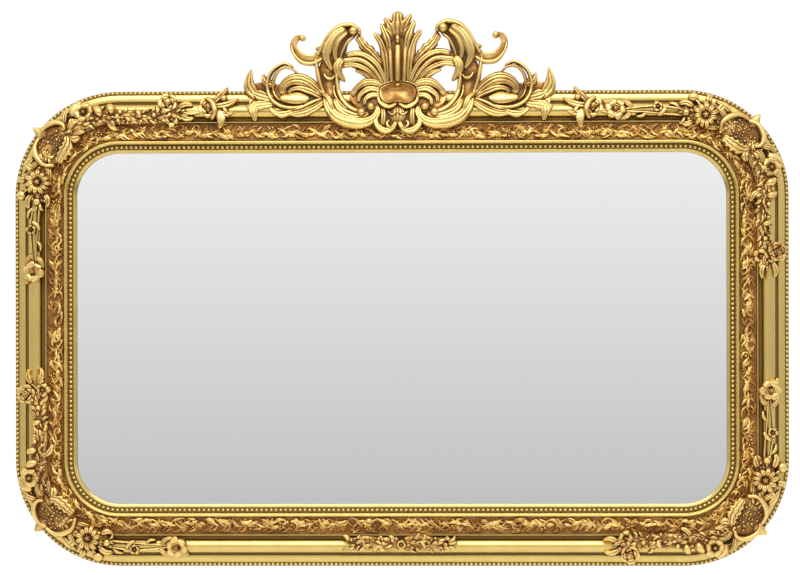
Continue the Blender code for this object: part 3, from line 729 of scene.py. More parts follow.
class MIRROR_OT_moulding(bpy.types.Operator):
    """Sweep the gilded moulding round the frame"""

    bl_idname = "mirror.moulding"
    bl_label = "Frame moulding"

    def execute(self, context):
        moulding = swept("gilded_moulding", moulding_section(), "burnished gilding")
        mesh = moulding.data
        mesh.materials.append(material_named("rubbed leaf gilding"))
        mesh.materials.append(material_named("stained softwood"))
        radius = context.scene.mirror_sizes.corner_radius / MM
        for face in mesh.polygons:
            x, y, z = face.center
            inset = float(inset_of(np.array(x), np.array(z), radius))
            if y > -0.024 and (inset > REBATE_INSET - 1 or abs(face.normal.y) > 0.9):
                face.material_index = 2
            elif INSET["edge_line"] < inset < INSET["leaf_band"]:
                face.material_index = 1
        mesh.set_sharp_from_angle(angle=math.radians(52))
        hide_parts("frame_moulding")
        return {"FINISHED"}


def bead_row(name, inset, level, pitch, radii):
    """Beads set side by side round the frame at one inset."""
    radius = bpy.context.scene.mirror_sizes.corner_radius / MM
    track = Track(radius, inset)
    count = round(track.length / (pitch / MM))
    sides, steps = ((12, 5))
    points, faces, hollow = [], [], []
    angles = np.linspace(0.0, 2 * math.pi, sides, endpoint=False)
    tilts = np.linspace(-0.35, math.pi / 2, steps + 1)[:-1]
    for bead in range(count):
        run = track.length * bead / count
        start = len(points)
        for tilt in tilts:
            for angle in angles:
                ahead = radii[0] * math.cos(tilt) * math.cos(angle)
                aside = radii[1] * math.cos(tilt) * math.sin(angle)
                x, z = track.place(run + ahead, inset + aside)
                points.append((x, -(level + radii[2] * math.sin(tilt)) * MM, z))
                # Painted shade: each bead darkens towards its foot on the moulding
                hollow.append(max(0.0, 0.85 - 1.3 * math.sin(max(tilt, 0.0))))
        for row in range(steps - 1):
            for side in range(sides):
                after = (side + 1) % sides
                low, high = start + row * sides, start + (row + 1) * sides
                faces.append((low + side, low + after, high + after, high + side))
        x, z = track.place(run, inset)
        points.append((x, -(level + radii[2]) * MM, z))
        hollow.append(0.0)
        last = start + (steps - 1) * sides
        faces.extend((last + side, last + (side + 1) % sides, len(points) - 1) for side in range(sides))
        faces.append(tuple(start + side for side in range(sides)))
    beads = mesh_object(name, np.array(points), faces, hollow, "burnished gilding")
    return beads


class MIRROR_OT_beads(bpy.types.Operator):
    """Set the two rows of beads"""

    bl_idname = "mirror.beads"
    bl_label = "Bead rows"

    def execute(self, context):
        sizes = context.scene.mirror_sizes
        bead_row("outer_bead_row", 3.3, 26.4, sizes.outer_bead_pitch, OUTER_BEAD)
        bead_row("inner_bead_row", INSET["fillet"] + 4.1, 38.0, sizes.inner_bead_pitch, INNER_BEAD)
        return {"FINISHED"}
# The band's kinds of leaf. Each row gives, in millimetres, the ranges of the root's and the tip's place in
# from the band's outer edge, the length along it, the width and the rise, then those of tone, bend and tilt.
# Tone is painted shade that varies at random, darker for the low leaves that lie under the others and lighter
# for those that lie across them. The tip of a leaf that lies across the others is placed from its own root.
LOW_LEAF = ((4, 24), (2, 26), (8, 14), (4, 7), (1.5, 3), (0.2, 0.5), (-0.3, 0.3), (-0.5, 0.5))
OUTER_LEAF = ((11, 18), (1.5, 6), (9, 18), (5, 9), (3, 5), (0.1, 0.45), (-0.25, 0.25), (-0.5, 0.5))
INNER_LEAF = ((8, 15), (21, 28), (12, 22), (5, 9), (4, 6.5), (-0.1, 0.25), (-0.3, 0.3), (-0.6, 0.6))
ACROSS_LEAF = ((14, 22), (-7, 7), (13, 23), (8, 12), (5, 8), (-0.2, 0.1), (-0.2, 0.2), (-0.6, 0.6))
class MIRROR_OT_leaf_band(bpy.types.Operator):
    """Carve the running band of leaves, berries and small rosettes"""

    bl_idname = "mirror.leaf_band"
    bl_label = "Leaf band"

    def execute(self, context):
        sizes = context.scene.mirror_sizes
        radius = sizes.corner_radius / MM
        start = INSET["edge_line"]
        width = MEMBERS["leaf_band"]
        track = Track(radius, start + width / 2)
        random = np.random.default_rng(sizes.seed)
        count = round(track.length / (sizes.leaf_pitch / MM))
        points, faces, hollow = [], [], []
        shape = np.linspace(0.0, 1.0, 7)
        lobed = np.minimum(shape * 3.0 % 1.0 / 0.7, (1 - shape * 3.0 % 1.0) / 0.3)
        swell = np.sin(math.pi * (0.12 + 0.84 * shape)) ** 0.6 * (0.72 + 0.38 * lobed)
        lift = np.sin(math.pi * (0.08 + 0.86 * shape)) ** 0.7
        section = np.array((-1.0, -0.78, -0.4, 0.0, 0.4, 0.78, 1.0))
        height = np.array((-0.3, 0.6, 0.95, 1.0, 0.9, 0.55, -0.3))
        # Painted shade at each leaf's side edges, where it meets the floor
        groove = np.array((0.9, 0.15, 0.0, 0.1, 0.0, 0.2, 0.9))

        def form(runs, insets, levels, tones):
            """One closed form from its rings of runs, insets and levels."""
            first = len(points)
            rows, columns = runs.shape
            for run, inset, level, tone in zip(runs.flat, insets.flat, levels.flat, tones.flat):
                x, z = track.place(run, inset)
                points.append((x, -level * MM, z))
                hollow.append(tone)
            faces.extend(ring_faces(first, rows, columns))

        def floor_level(inset):
            away = np.array((0.0, 3.0, 10.0, 18.0, width))
            return np.interp(inset - start, away, (37.6, 36.4, 36.8, 39.4, 43.5))

        def band_leaf(run, root, tip, length, wide, rise, tone, bend, tilt):
            along = np.array((length, tip - root))
            reach = np.linalg.norm(along)
            side = np.array((-along[1], along[0])) / reach
            bow = np.sin(math.pi * shape) * reach * bend
            middle_run = run + along[0] * shape + side[0] * bow
            middle_inset = root + along[1] * shape + side[1] * bow
            half = wide / 2 * swell
            runs = middle_run[:, None] + side[0] * half[:, None] * section
            insets = middle_inset[:, None] + side[1] * half[:, None] * section
            insets = np.clip(insets, start + 0.4, start + width - 0.4)
            rises = rise * lift[:, None] * (height + tilt * section * (np.abs(section) < 0.9))
            # Painted shade: the leaf's edges and low ends darken, and its tone is added
            tones = np.clip(groove + tone + 0.2 * (1 - lift[:, None]), 0.0, 1.0)
            form(runs, insets, floor_level(insets) + rises, tones)

        def berry(run, inset, size, rise):
            angles = np.linspace(0.0, 2 * math.pi, 8, endpoint=False)
            rows = np.array((1.0, 0.9, 0.55, 0.15))
            up = np.array((-0.3, 0.55, 0.9, 1.0))
            runs = run + size * rows[:, None] * np.cos(angles)
            insets = inset + size * rows[:, None] * np.sin(angles)
            base = float(floor_level(np.array(inset)))
            levels = np.broadcast_to((base + rise * up)[:, None], runs.shape)
            # Painted shade darkens each berry's foot
            tones = np.broadcast_to(np.array((0.9, 0.4, 0.0, 0.0))[:, None], runs.shape)
            form(runs, insets, levels, tones)

        def any_of(low, high):
            return random.uniform(low, high)

        def leaf_of(kind, run, way=None):
            """A leaf of one kind, pointing the given way along the band or either way."""
            root = start + any_of(*kind[0])
            tip = (root if kind is ACROSS_LEAF else start) + any_of(*kind[1])
            length = any_of(*kind[2]) * (way or random.choice((-1, 1)))
            band_leaf(run, root, tip, length, *(any_of(*span) for span in kind[3:]))

        for leaf in range(count):
            run = track.length * leaf / count
            way = -1 if leaf % 7 in (2, 5) else 1
            leaf_of(LOW_LEAF, run)
            leaf_of(OUTER_LEAF, run, way)
            leaf_of(INNER_LEAF, run, way)
            if leaf % 2 == 0:
                leaf_of(ACROSS_LEAF, run)
            if leaf % 5 == 0:
                for spot in range(3):
                    berry(run + any_of(-4, 4), start + any_of(6, 24), any_of(1.4, 2.1), any_of(6, 8))
            if leaf % 21 == 5:
                centre = start + any_of(12, 18)
                for petal in range(5):
                    angle = 2 * math.pi * petal / 5
                    berry(run + 4.4 * math.cos(angle), centre + 4.4 * math.sin(angle), 2.7, 8.0)
                berry(run, centre, 2.0, 9.6)
        band = mesh_object("leaf_band", np.array(points), faces, hollow, "rubbed leaf gilding")
        return {"FINISHED"}


class MIRROR_OT_glass(bpy.types.Operator):
    """Silver the glass and stain the backing board"""

    bl_idname = "mirror.glass"
    bl_label = "Glass and board"

    def execute(self, context):
        finishes = {"mirror_glass": "silvered float glass", "back_board": "brown backing board"}
        for node, material in finishes.items():
            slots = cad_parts[node].data.materials
            slots.clear()
            slots.append(material_named(material))
        return {"FINISHED"}


# How strokes of the drawings are often carved
PAIRED = {"ribs": 2}
VEINED = {"ribs": 2, "lobes": 2}
LEAFY = {"ribs": 2, "lobes": 3}
FROND = {"ribs": 3, "lobes": 2}
FRILLED = {"ribs": 3, "lobes": 3}
DEEP_FRILLED = {"ribs": 3, "lobes": 3, "lobe": 0.25}

# The crest: places in millimetres outwards from its middle and up from the frame's top edge. A panel is an
# outline, its rise, how far its middle lies below its rim and its painted shade. A stroke is its line, the
# widths at the start, middle and end, the rise, then how it is carved, with the painted shade it is given.
PALMETTE_RIGHT = [(16, 9), (19, 40), (24, 62), (31, 80), (28, 96), (21, 112)]
PALMETTE_LEFT = [(-x, z) for x, z in reversed(PALMETTE_RIGHT)]
CREST_MIDDLE_PANELS = (
    (PALMETTE_LEFT[-1:] + PALMETTE_RIGHT + [(0, 124)] + PALMETTE_LEFT[:-1], 4, 0.2, 0.36),
    (
        [(0, 13), (18, 11), (30, 4), (31, -9), (21, -22),
         (0, -19), (-21, -22), (-31, -9), (-30, 4), (-18, 11)],
        10, 1.1, 0.62,
    ),
    ([(-34, -22), (34, -22), (36, -50), (22, -62), (0, -60), (-22, -62), (-36, -50)], 1, 0.0, 0.5),
)
CREST_MIDDLE = (
    ([(0, 12), (0, 45), (0, 78)], (13, 14, 12), 13, {}),
    ([(0, 76), (0, 94)], (7, 10, 5), 14, {"shade": 0.15}),
    ([(0, 84), (0, 108), (0, 130)], (18, 27, 16), 9, {"ribs": 3, "lobes": 3, "lobe": 0.3, "shade": 0.42}),
    ([(0, -24), (0, -38), (0, -56)], (18, 34, 16), 6, {"ribs": 5, "groove": 0.3}),
)
CREST_HALF_PANELS = (
    ([(22, 11), (52, 16), (76, 4), (80, -16), (62, -32), (40, -30), (26, -14)], 1, 0.0, 0.46),
    (
        [(132, -8), (150, 8), (172, 14), (190, 12), (206, 10), (212, -2), (202, -20), (178, -30), (150, -26)],
        1, 0.0, 0.46,
    ),
    (
        [(148, -13), (158, -21), (178, -22), (196, -17), (199, -9), (186, -5), (168, -2), (154, -7)],
        7, -0.6, 0.0,
    ),
    ([(208, 6), (234, 14), (248, 6), (252, -14), (246, -32), (226, -30), (206, -26)], 1, 0.0, 0.42),
)
CREST_HALF = (
    ([(10, 11), (12, 45), (14, 82)], (9, 11, 10), 12, {}),
    ([(18, 11), (20, 45), (26, 74), (39, 95)], (9, 16, 8), 10, {"ribs": 2, "lobes": 3, "lift": (0, 3)}),
    ([(13, 58), (17, 82), (28, 110)], (9, 15, 7), 12, {"ribs": 2, "lobes": 3, "shade": 0.08}),
    ([(5, 84), (12, 104), (23, 120)], (14, 19, 4), 8, {"ribs": 2, "lobes": 3, "lobe": 0.3, "shade": 0.42}),
    ([(9, 80), (18, 96), (28, 105)], (12, 16, 3), 8, {"ribs": 2, "lobes": 2, "lobe": 0.3, "shade": 0.34}),
    ([(26, 10), (40, 31), (58, 45), (78, 51), (98, 47)], (20, 32, 20), 3, {"shade": 0.38}),
    ([(24, 40), (43, 60), (57, 73), (68, 90)], (12, 20, 11), 8,
     {"ribs": 3, "shade": 0.18, "lobes": 5, "lobe": 0.3}),
    ([(19, 12), (33, 40), (50, 55), (68, 61), (88, 58)], (9, 12, 10), 11, {"ribs": 2, "groove": 0.15}),
    ([(24, 11), (37, 31), (52, 45), (68, 51), (94, 49)], (8, 11, 11), 12, {}),
    ([(30, 10), (43, 27), (57, 37), (76, 43), (96, 41)], (7, 10, 9), 9, PAIRED),
    ([(34, 9), (47, 22), (58, 29), (72, 33)], (7, 12, 4), 6, {"ribs": 2, "lobes": 4, "shade": 0.12}),
    ([(92, 54), (101, 42), (100, 29), (89, 15)], (15, 18, 5), 12, {"ribs": 3, "groove": 0.15, "lobes": 2}),
    ([(72, 96), (90, 91), (104, 74), (112, 54), (116, 36)], (16, 40, 32), 3, {"shade": 0.4}),
    ([(65, 91), (67, 101), (82, 108), (100, 104), (115, 91), (127, 72), (137, 57)], (8, 10, 8), 13, {}),
    ([(87, 104), (106, 91), (118, 70), (120, 52), (110, 33)], (13, 23, 6), 15, {"ribs": 2, "groove": 0.1}),
    ([(83, 98), (99, 85), (106, 70), (105, 54), (99, 44)], (10, 16, 5), 11, {"ribs": 2, "groove": 0.15}),
    ([(72, 91), (84, 81), (93, 65), (98, 48)], (5, 6, 5), 9, {"shade": 0.1}),
    ([(122, 62), (132, 70), (139, 68)], (8, 10, 3), 8, VEINED),
    ([(118, 48), (130, 56), (144, 52), (160, 53), (171, 62), (176, 75), (171, 86), (162, 88)], (16, 16, 8), 7,
     {"cup": 0.5, "shade": 0.1}),
    ([(126, 54), (143, 45), (162, 47), (175, 60), (180, 76)], (7, 8, 4), 11, {}),
    ([(112, 54), (118, 30), (117, 9), (110, -16)], (28, 36, 34), 2, {"shade": 0.4}),
    ([(139, 54), (135, 30), (131, 12), (126, -3), (117, -20)], (7, 9, 9), 11, {}),
    ([(99, 42), (103, 28), (102, 11), (98, -6), (88, -22), (74, -32), (60, -36)], (7, 9, 13), 12, {}),
    ([(108, 10), (106, -6), (97, -20), (82, -32), (66, -30)], (5, 7, 7), 8, {"shade": 0.15}),
    ([(121, -6), (116, -27), (103, -43), (82, -51), (59, -53), (42, -47), (34, -35), (38, -24)],
     (16, 24, 12), 13, {"ribs": 3, "groove": 0.18}),
    ([(108, -12), (98, -29), (80, -40), (60, -42), (47, -36)], (12, 18, 9), 11, {"ribs": 2, "groove": 0.2}),
    ([(128, -4), (117, -12), (111, -26), (106, -38)], (7, 12, 6), 15, {"ribs": 2, "groove": 0.15}),
    ([(125, 30), (120, 21), (110, 20), (106, 27)], (4, 8, 4), 12, {}),
    ([(126, -9), (142, 7), (160, 17), (178, 18), (191, 11), (195, 1), (188, -6)], (15, 23, 10), 12,
     {"ribs": 4, "groove": 0.25}),
    ([(127, -12), (146, -2), (165, 4), (179, 2), (185, -5)], (10, 13, 6), 11, PAIRED),
    ([(176, 38), (192, 45), (211, 34), (220, 15), (218, -4), (209, -18), (190, -27), (166, -27), (142, -18)],
     (5, 8, 7), 12, {}),
    ([(168, 27), (180, 37), (195, 38), (206, 28), (211, 14), (210, -1), (202, -13), (186, -20)], (4, 6, 4), 9,
     {"shade": 0.1}),
    ([(122, -16), (142, -29), (162, -37), (178, -37), (188, -30)], (11, 17, 7), 10, {"ribs": 3}),
    ([(126, -12), (146, -20), (164, -29), (180, -31)], (7, 9, 5), 11, {}),
    ([(168, -30), (190, -38), (205, -37), (217, -27)], (10, 14, 6), 7, LEAFY),
    ([(208, -14), (232, -7), (254, 1)], (14, 21, 7), 9, DEEP_FRILLED),
    ([(208, -20), (232, -23), (256, -28)], (13, 19, 6), 7, DEEP_FRILLED),
    ([(206, 8), (222, 14), (228, 28)], (11, 17, 3), 9, {"ribs": 3, "lobes": 2, "shade": 0.05}),
    ([(236, -12), (250, 6), (251, 20), (248, 36)], (18, 22, 2), 8, {"ribs": 3, "lobes": 2, "shade": 0.15}),
    ([(234, -16), (243, -30), (240, -50)], (14, 19, 5), 6, {"ribs": 3, "lobes": 3, "shade": 0.2}),
    ([(24, 9), (48, 14), (67, 6), (77, -9)], (12, 15, 7), 10, {"ribs": 3, "groove": 0.2}),
    ([(27, 0), (48, 3), (63, -7), (66, -20)], (10, 13, 6), 10, {"ribs": 2, "groove": 0.2}),
    ([(27, -9), (43, -7), (54, -14), (56, -26)], (9, 12, 6), 9, {"ribs": 2, "groove": 0.2}),
    ([(0, 15), (18, 13), (31, 6), (34, -8), (27, -20)], (5, 6, 5), 8, {"shade": 0.12}),
    ([(34, -8), (29, -20), (14, -27), (0, -20)], (6, 10, 6), 13, {"ribs": 2, "groove": 0.12}),
    ([(25, -26), (24, -42), (25, -60)], (9, 11, 10), 9, PAIRED),
    ([(0, -33), (9, -40), (18, -33)], (4, 5, 4), 10, {}),
    ([(37, -40), (35, -57), (21, -66), (8, -61), (2, -50)], (9, 13, 9), 11, {"ribs": 2, "groove": 0.15}),
    ([(13, -48), (18, -55), (12, -62), (5, -57)], (5, 7, 5), 12, {}),
)
CREST_BOSSES = (
    ((75, 98), 8.5, 17),
    ((161, 87), 5.5, 11),
    ((45, -27), 7.5, 17),
    ((61, -36), 8, 16),
    ((101, 17), 3, 10),
    ((1, 9), 3.5, 14),
)
# The crest's halves aren't quite alike: its middle lies left of the frame's, and its right half is taller
CREST_MIDDLE_X = -4.5
CREST_WIDTHS = {-1: 0.972, 1: 0.995}
CREST_RISES = {-1: 1.0, 1: 1.05}
DRAWN_CREST_WIDTH = 0.515


def crest_place(side, scale):
    """Turns places outwards and up from the crest's middle into places on the given side."""

    def place(out, up):
        across = CREST_MIDDLE_X + side * out * CREST_WIDTHS[side]
        return across * scale, TOP_EDGE + up * scale * np.where(up > 0, CREST_RISES[side], 1.0)

    return place


class MIRROR_OT_crest(bpy.types.Operator):
    """Carve the pierced crest"""

    bl_idname = "mirror.crest"
    bl_label = "Crest"

    def execute(self, context):
        sizes = context.scene.mirror_sizes
        pieces = Carving(None, sizes.corner_radius / MM)
        for side in (-1, 1):
            pieces.place = crest_place(side, sizes.crest_width / DRAWN_CREST_WIDTH * MM)
            middle = side < 0
            for outline, rise, dish, shade in CREST_HALF_PANELS + (CREST_MIDDLE_PANELS if middle else ()):
                pieces.panel(outline, rise, dish, shade)
            pieces.strokes(CREST_HALF + (CREST_MIDDLE if middle else ()))
            for centre, radius, rise in CREST_BOSSES:
                pieces.boss(centre, radius, rise)
        crest = pieces.object("carved_crest", "gilded carving")
        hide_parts("crest")
        return {"FINISHED"}


# The applied ornaments: places in millimetres along the rail from the corner's diagonal, over zero along the
# top or bottom rail and under zero along the side rail, and in from the outer edge
CARTOUCHE_FLOOR = [(-50, 48), (-46, 22), (-28, 12), (-6, 8), (12, 22), (12, 44), (-6, 56), (-32, 60)]
CARTOUCHE = (
    ([(-12, 15), (-15, 3), (-16, -10)], (26, 15, 2), 7, {"shade": 0.2}),
    ([(13, 34), (17, 22), (8, 10), (-10, 5), (-24, 12)], (7, 11, 8), 14, {}),
    ([(-20, 9), (-36, 12), (-48, 24), (-54, 40), (-46, 56)], (7, 12, 8), 13, {}),
    ([(14, 40), (4, 52), (-14, 57), (-40, 58)], (16, 25, 13), 12, {"ribs": 3, "lobes": 5, "lobe": 0.45}),
    ([(10, 46), (18, 54), (30, 56)], (12, 16, 5), 10, VEINED),
    ([(18, 24), (28, 10), (42, 8)], (9, 12, 4), 10, FROND),
    ([(18, 36), (32, 30), (46, 34)], (9, 13, 4), 10, FROND),
    ([(12, 50), (28, 48), (44, 52)], (9, 13, 4), 7, {"ribs": 3, "lobes": 2, "shade": 0.2}),
    ([(-50, 18), (-62, 12), (-76, 10)], (9, 13, 4), 8, VEINED),
    ([(-52, 30), (-64, 22), (-78, 20)], (9, 12, 4), 10, FROND),
    ([(-54, 48), (-68, 52), (-82, 56)], (9, 13, 4), 7, {"ribs": 3, "lobes": 2, "shade": 0.2}),
)
CORNER_CASTING = {
    "strokes": (
        ([(70, 19), (76, 27), (80, 40)], (7, 17, 9), 15, {}),
        ([(92, 20), (97, 28), (99, 39)], (7, 16, 8), 15, {}),
        ([(36, 22), (44, 10), (56, 4)], (10, 15, 6), 11, {"cup": 0.2}),
        ([(88, 48), (96, 58), (108, 64)], (8, 12, 4), 6, {"ribs": 2, "lobes": 2, "shade": 0.1}),
        ([(138, 30), (143, 36), (146, 46)], (6, 12, 8), 14, {}),
        ([(208, 40), (222, 46), (234, 44)], (8, 11, 4), 8, VEINED),
        ([(206, 28), (220, 22), (232, 24)], (8, 11, 4), 8, VEINED),
        ([(-68, 26), (-64, 14), (-60, 6)], (10, 14, 4), 9, VEINED),
        ([(-84, 18), (-86, 8), (-82, 2)], (8, 11, 4), 8, VEINED),
        ([(-104, 50), (-116, 56), (-128, 54)], (9, 12, 4), 7, {"ribs": 2, "lobes": 2, "shade": 0.1}),
        ([(-106, 28), (-118, 22), (-130, 24)], (9, 13, 5), 9, VEINED),
        ([(-90, 34), (-98, 22), (-108, 12)], (4, 4, 4), 7, {}),
        ([(-100, 43), (-140, 41), (-185, 37), (-226, 35)], (5, 3.5, 5), 5, {}),
        ([(-100, 38), (-130, 31), (-164, 27), (-200, 29), (-226, 33)], (5, 4, 5), 5, {}),
        ([(-150, 28), (-158, 38), (-166, 42)], (7, 8, 4), 8, {"cup": 0.2}),
        ([(-128, 31), (-136, 24), (-146, 22)], (5, 7, 3), 6, {}),
        ([(-182, 37), (-190, 43), (-200, 44)], (5, 7, 3), 6, {}),
        ([(-205, 30), (-214, 22), (-226, 18)], (8, 10, 4), 7, FROND),
        ([(-208, 36), (-216, 44), (-228, 48)], (8, 10, 4), 7, FROND),
        ([(-222, 32), (-238, 40), (-252, 36)], (10, 12, 4), 8, FRILLED),
        ([(-222, 30), (-238, 22), (-254, 20)], (10, 12, 4), 8, FRILLED),
    ),
    "sprigs": ([(2, 34), (52, 38), (94, 41), (145, 42), (212, 39)], [(-30, 36), (-60, 38), (-120, 40)]),
    "flowers": (
        ((54, 22), 19, 6, 13),
        ((197, 47), 14, 5, 10),
        ((-85, 37), 24, 11, 14),
        ((-164, 28), 10, 5, 11),
        ((-233, 31), 20, 6, 12),
    ),
    "roses": (((190, 19), 14, 12),),
    "buds": (((-108, 12), 8, 10), ((-118, 38), 7, 12), ((112, 34), 5, 11), ((168, 40), 5, 11)),
}
CREST_BLOSSOM = {
    "strokes": (
        ([(212, 38), (236, 35), (259, 29)], (7, 9, 7), 6, PAIRED),
        ([(270, 30), (278, 44), (276, 62)], (12, 15, 4), 12, {"cup": 0.3}),
        ([(252, 10), (264, 20), (268, 34), (262, 48)], (8, 13, 6), 15, {}),
        ([(262, 22), (278, 6), (288, -6)], (10, 13, 4), 9, {"ribs": 2, "lobes": 3, "shade": 0.25}),
        ([(262, 26), (288, 22), (306, 12)], (10, 14, 4), 9, {"ribs": 2, "lobes": 3, "shade": 0.1}),
        ([(266, 34), (286, 38), (300, 34)], (9, 12, 4), 8, LEAFY),
        ([(278, 22), (284, 30), (290, 44)], (7, 11, 4), 9, {"shade": 0.2}),
    ),
    "sprigs": (),
    "flowers": (),
    "roses": (((257, 27), 15, 11),),
    "buds": (((282, 12), 6, 12),),
}
BOTTOM_SPRAY = {
    "strokes": (),
    "sprigs": (
        [(-4, 37), (-36, 36), (-60, 39), (-84, 36)],
        [(4, 37), (34, 39), (56, 36), (76, 38)],
    ),
    "flowers": (((0, 36), 9, 8, 10), ((-46, 38), 7, 6, 8), ((42, 38), 7, 6, 8)),
    "roses": (),
    "buds": (),
}


def corner_place(side, rise, radius, swapped, shift):
    """Turns runs and insets into places at the corner on the given side.

    The one corner casting is turned a quarter from corner to corner, so at two of them its arms lie swapped.
    """
    across, up = outer_section(radius)
    half_arc = (radius - HUMP_MIDDLE) * math.pi / 4

    def place(run, inset):
        run = (-run if swapped else run) + shift
        reach = radius - inset
        turn = math.pi / 4 * np.clip(run / half_arc, -1.0, 1.0)
        beyond = np.maximum(np.abs(run) - half_arc, 0.0)
        x = across + reach * np.sin(math.pi / 4 - turn) - np.where(run > 0, beyond, 0.0)
        z = up + reach * np.cos(math.pi / 4 - turn) - np.where(run > 0, 0.0, beyond)
        return side * x * MM, MIDDLE_HEIGHT + rise * z * MM

    return place


def add_design(pieces, design, random):
    for points in design["sprigs"]:
        pieces.sprig(points, 8.0, 17.0, 8.0, random)
    pieces.strokes(design["strokes"])
    for centre, radius, petals, rise in design["flowers"]:
        pieces.flower(centre, radius, petals, rise + 3, turn=random.uniform(0, 1))
    for centre, radius, rise in design["roses"]:
        pieces.rose(centre, radius, rise + 2, turn=random.uniform(0, 1))
    for centre, radius, rise in design["buds"]:
        pieces.boss(centre, radius, rise)


# The grapes fill an oval: how many, its middle, its half sizes and the turn from one grape to the next
GRAPES = 30
GRAPES_MIDDLE = (-19, 31)
GRAPES_REACH = (26, 18)
GRAPE_TURN = 2.4


def add_cartouche(pieces, random):
    """A C scroll round a field of grapes, with a frilled shell edge."""
    pieces.panel(CARTOUCHE_FLOOR, 2, 0.6, 0.5)
    pieces.strokes(CARTOUCHE)
    for grape in range(GRAPES):
        spread = math.sqrt((grape + 0.5) / GRAPES)
        run = GRAPES_MIDDLE[0] + GRAPES_REACH[0] * spread * math.cos(grape * GRAPE_TURN)
        inset = GRAPES_MIDDLE[1] + GRAPES_REACH[1] * spread * math.sin(grape * GRAPE_TURN)
        radius, rise = random.uniform(1.8, 3.2), random.uniform(4.5, 7.5)
        pieces.boss((run, inset), radius, rise, 9, random.uniform(0.15, 0.4))


def finish_ornament(pieces, name, node):
    ornament = pieces.object(name, "gilded carving")
    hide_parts(node)


class MIRROR_OT_ornaments(bpy.types.Operator):
    """Lay the corner ornaments and the bottom spray on the moulding"""

    bl_idname = "mirror.ornaments"
    bl_label = "Applied ornaments"

    def execute(self, context):
        sizes = context.scene.mirror_sizes
        radius = sizes.corner_radius / MM
        corners = {
            "upper_left": (-1, 1, False, 0.0),
            "upper_right": (1, 1, True, -13.0),
            "lower_left": (-1, -1, True, -30.0),
            "lower_right": (1, -1, False, 8.0),
        }
        for number, (corner, (side, rise, swapped, shift)) in enumerate(corners.items()):
            random = np.random.default_rng(sizes.seed + number)
            pieces = Carving(corner_place(side, rise, radius, swapped, shift), radius)
            add_design(pieces, CORNER_CASTING, random)
            add_cartouche(pieces, random)
            if rise > 0:
                pieces.place = corner_place(side, rise, radius, False, 0.0)
                add_design(pieces, CREST_BLOSSOM, random)
            finish_ornament(pieces, f"flower_corner_{corner}", f"corner_ornament_{corner}")

        def bottom_place(run, inset):
            return run * MM, FRAME_LOW[2] + inset * MM

        pieces = Carving(bottom_place, radius)
        add_design(pieces, BOTTOM_SPRAY, np.random.default_rng(sizes.seed))
        finish_ornament(pieces, "bottom_leaf_spray", "bottom_spray")
        return {"FINISHED"}

# The camera aims a little off the frame's middle, swung right and rolled by a few degrees or less
CAMERA_AIM = (-0.0017, -0.026, TOP_EDGE - 0.323)
CAMERA_SWING = 1.6
CAMERA_ROLL = 0.11
FILM_WIDTH = 36.0
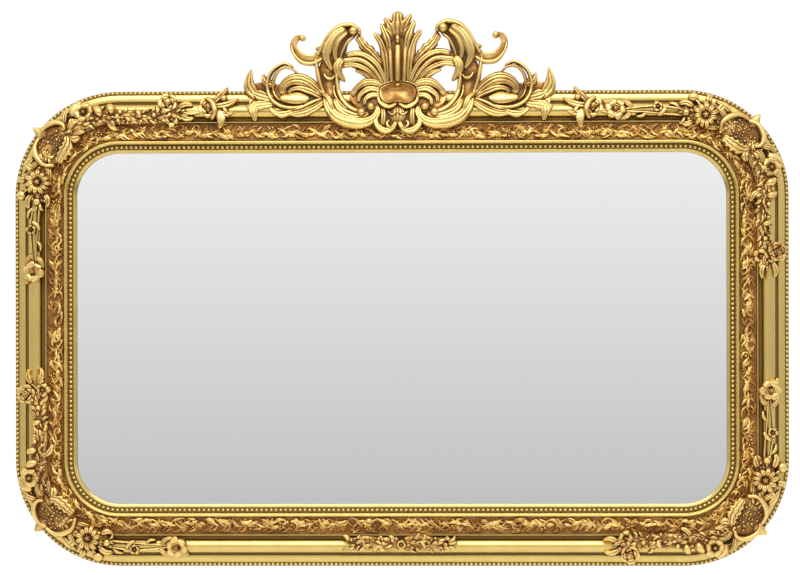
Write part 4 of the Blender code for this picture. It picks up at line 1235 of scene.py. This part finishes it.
# The white room dims low down on the viewer's side, which gives the glass its greys: the heights of the
# direction between which it dims, its strengths there, and its strength behind the mirror
DIM_HEIGHTS = (-0.133, 0.0854)
DIM_STRENGTHS = (0.317, 1.09)
STRENGTH_BEHIND = 1.06
LIGHT_SIZE = (2.4, 1.2)
LIGHT_PLACE = (0.0, -1.7, 1.7)
LIGHT_TILT = 42
FLOOR_HALF = 2.0
FLOOR_DROP = 0.30
class MIRROR_OT_stage(bpy.types.Operator):
    """Set the floor, the soft studio light and the camera"""

    bl_idname = "mirror.stage"
    bl_label = "Stage"

    def execute(self, context):
        scene = context.scene
        studio = scene.studio_settings
        scene.view_settings.view_transform = "Standard"
        self.camera(scene, studio)
        self.light(scene, studio)
        self.floor(scene, studio)
        return {"FINISHED"}

    def camera(self, scene, studio):
        """A long lens a little right of the middle, as the slightly wider right side of the frame shows."""
        data = bpy.data.cameras.new("camera")
        data.sensor_width = FILM_WIDTH
        data.lens = FILM_WIDTH * studio.distance / studio.picture_width
        camera = bpy.data.objects.new("camera", data)
        swing = math.radians(CAMERA_SWING)
        back = Vector((math.sin(swing), -math.cos(swing), 0.0))
        camera.location = Vector(CAMERA_AIM) + back * studio.distance
        camera.rotation_euler = (math.radians(90), math.radians(CAMERA_ROLL), swing)
        scene.collection.objects.link(camera)
        scene.camera = camera

    def light(self, scene, studio):
        """A white room, dimmer low down on the viewer's side, and one large soft light above the camera."""
        world = bpy.data.worlds.new("studio")
        world.use_nodes = True
        tree = world.node_tree
        tree.nodes.clear()
        direction = add_node(tree, "ShaderNodeTexCoord").outputs["Generated"]
        parts = add_node(tree, "ShaderNodeSeparateXYZ", {}, {0: direction}).outputs
        dimming = {"From Min": DIM_HEIGHTS[0], "From Max": DIM_HEIGHTS[1]}
        dimming |= {"To Min": DIM_STRENGTHS[0], "To Max": DIM_STRENGTHS[1]}
        height = add_node(tree, "ShaderNodeMapRange", dimming, {"Value": parts[2]}).outputs[0]
        behind = add_node(
            tree, "ShaderNodeMapRange", {"From Min": -0.1, "From Max": 0.25}, {"Value": parts[1]}
        ).outputs[0]
        strength = add_node(
            tree, "ShaderNodeMix", {"data_type": "FLOAT", 3: STRENGTH_BEHIND}, {"Factor": behind, 2: height}
        ).outputs[0]
        background = add_node(
            tree, "ShaderNodeBackground", {"Color": (1.0, 1.0, 1.0, 1.0)}, {"Strength": strength}
        )
        add_node(tree, "ShaderNodeOutputWorld", {}, {"Surface": background.outputs[0]})
        scene.world = world

        data = bpy.data.lights.new("soft light above", "AREA")
        data.shape = "RECTANGLE"
        data.size, data.size_y = LIGHT_SIZE
        data.energy = studio.key_power
        light = bpy.data.objects.new("soft light above", data)
        light.location = LIGHT_PLACE
        light.rotation_euler = (math.radians(LIGHT_TILT), 0.0, 0.0)
        scene.collection.objects.link(light)

    def floor(self, scene, studio):
        material, tree = new_material("matt studio floor")
        shader = add_node(
            tree, "ShaderNodeBsdfPrincipled", {"Base Color": (*studio.floor_colour, 1.0), "Roughness": 0.9}
        )
        add_node(tree, "ShaderNodeOutputMaterial", {}, {"Surface": shader.outputs[0]})
        level = FRAME_LOW[2] - FLOOR_DROP
        mesh = bpy.data.meshes.new("floor")
        corners = [(x * FLOOR_HALF, y * FLOOR_HALF, level) for x, y in ((-1, -1), (1, -1), (1, 1), (-1, 1))]
        mesh.from_pydata(corners, [], [(0, 1, 2, 3)])
        mesh.materials.append(material)
        floor = bpy.data.objects.new("floor", mesh)
        scene.collection.objects.link(floor)


OPERATORS = (
    MIRROR_OT_moulding,
    MIRROR_OT_beads,
    MIRROR_OT_leaf_band,
    MIRROR_OT_glass,
    MIRROR_OT_crest,
    MIRROR_OT_ornaments,
    MIRROR_OT_stage,
)


class MIRROR_PT_panel(bpy.types.Panel):
    """Lists the mirror's sizes, colours and makers"""

    bl_label = "Gilt mirror"
    bl_idname = "MIRROR_PT_panel"
    bl_space_type = "VIEW_3D"
    bl_region_type = "UI"
    bl_category = "Mirror"

    def draw(self, context):
        scene = context.scene
        for group in (scene.mirror_sizes, scene.gilding_colours, scene.studio_settings):
            for name in type(group).__annotations__:
                self.layout.prop(group, name)
        for operator in OPERATORS:
            self.layout.operator(operator.bl_idname)


GROUPS = {
    "mirror_sizes": MirrorSizes,
    "gilding_colours": GildingColours,
    "studio_settings": StudioSettings,
}


def register():
    for name, group in GROUPS.items():
        bpy.utils.register_class(group)
        setattr(bpy.types.Scene, name, PointerProperty(type=group))
    for operator in OPERATORS:
        bpy.utils.register_class(operator)
    bpy.utils.register_class(MIRROR_PT_panel)


def unregister():
    bpy.utils.unregister_class(MIRROR_PT_panel)
    for operator in reversed(OPERATORS):
        bpy.utils.unregister_class(operator)
    for name, group in reversed(GROUPS.items()):
        delattr(bpy.types.Scene, name)
        bpy.utils.unregister_class(group)


def main():
    register()
    bpy.ops.mirror.stage()
    bpy.ops.mirror.moulding()
    bpy.ops.mirror.beads()
    bpy.ops.mirror.leaf_band()
    bpy.ops.mirror.glass()
    bpy.ops.mirror.crest()
    bpy.ops.mirror.ornaments()


if __name__ == "__main__":
    main()
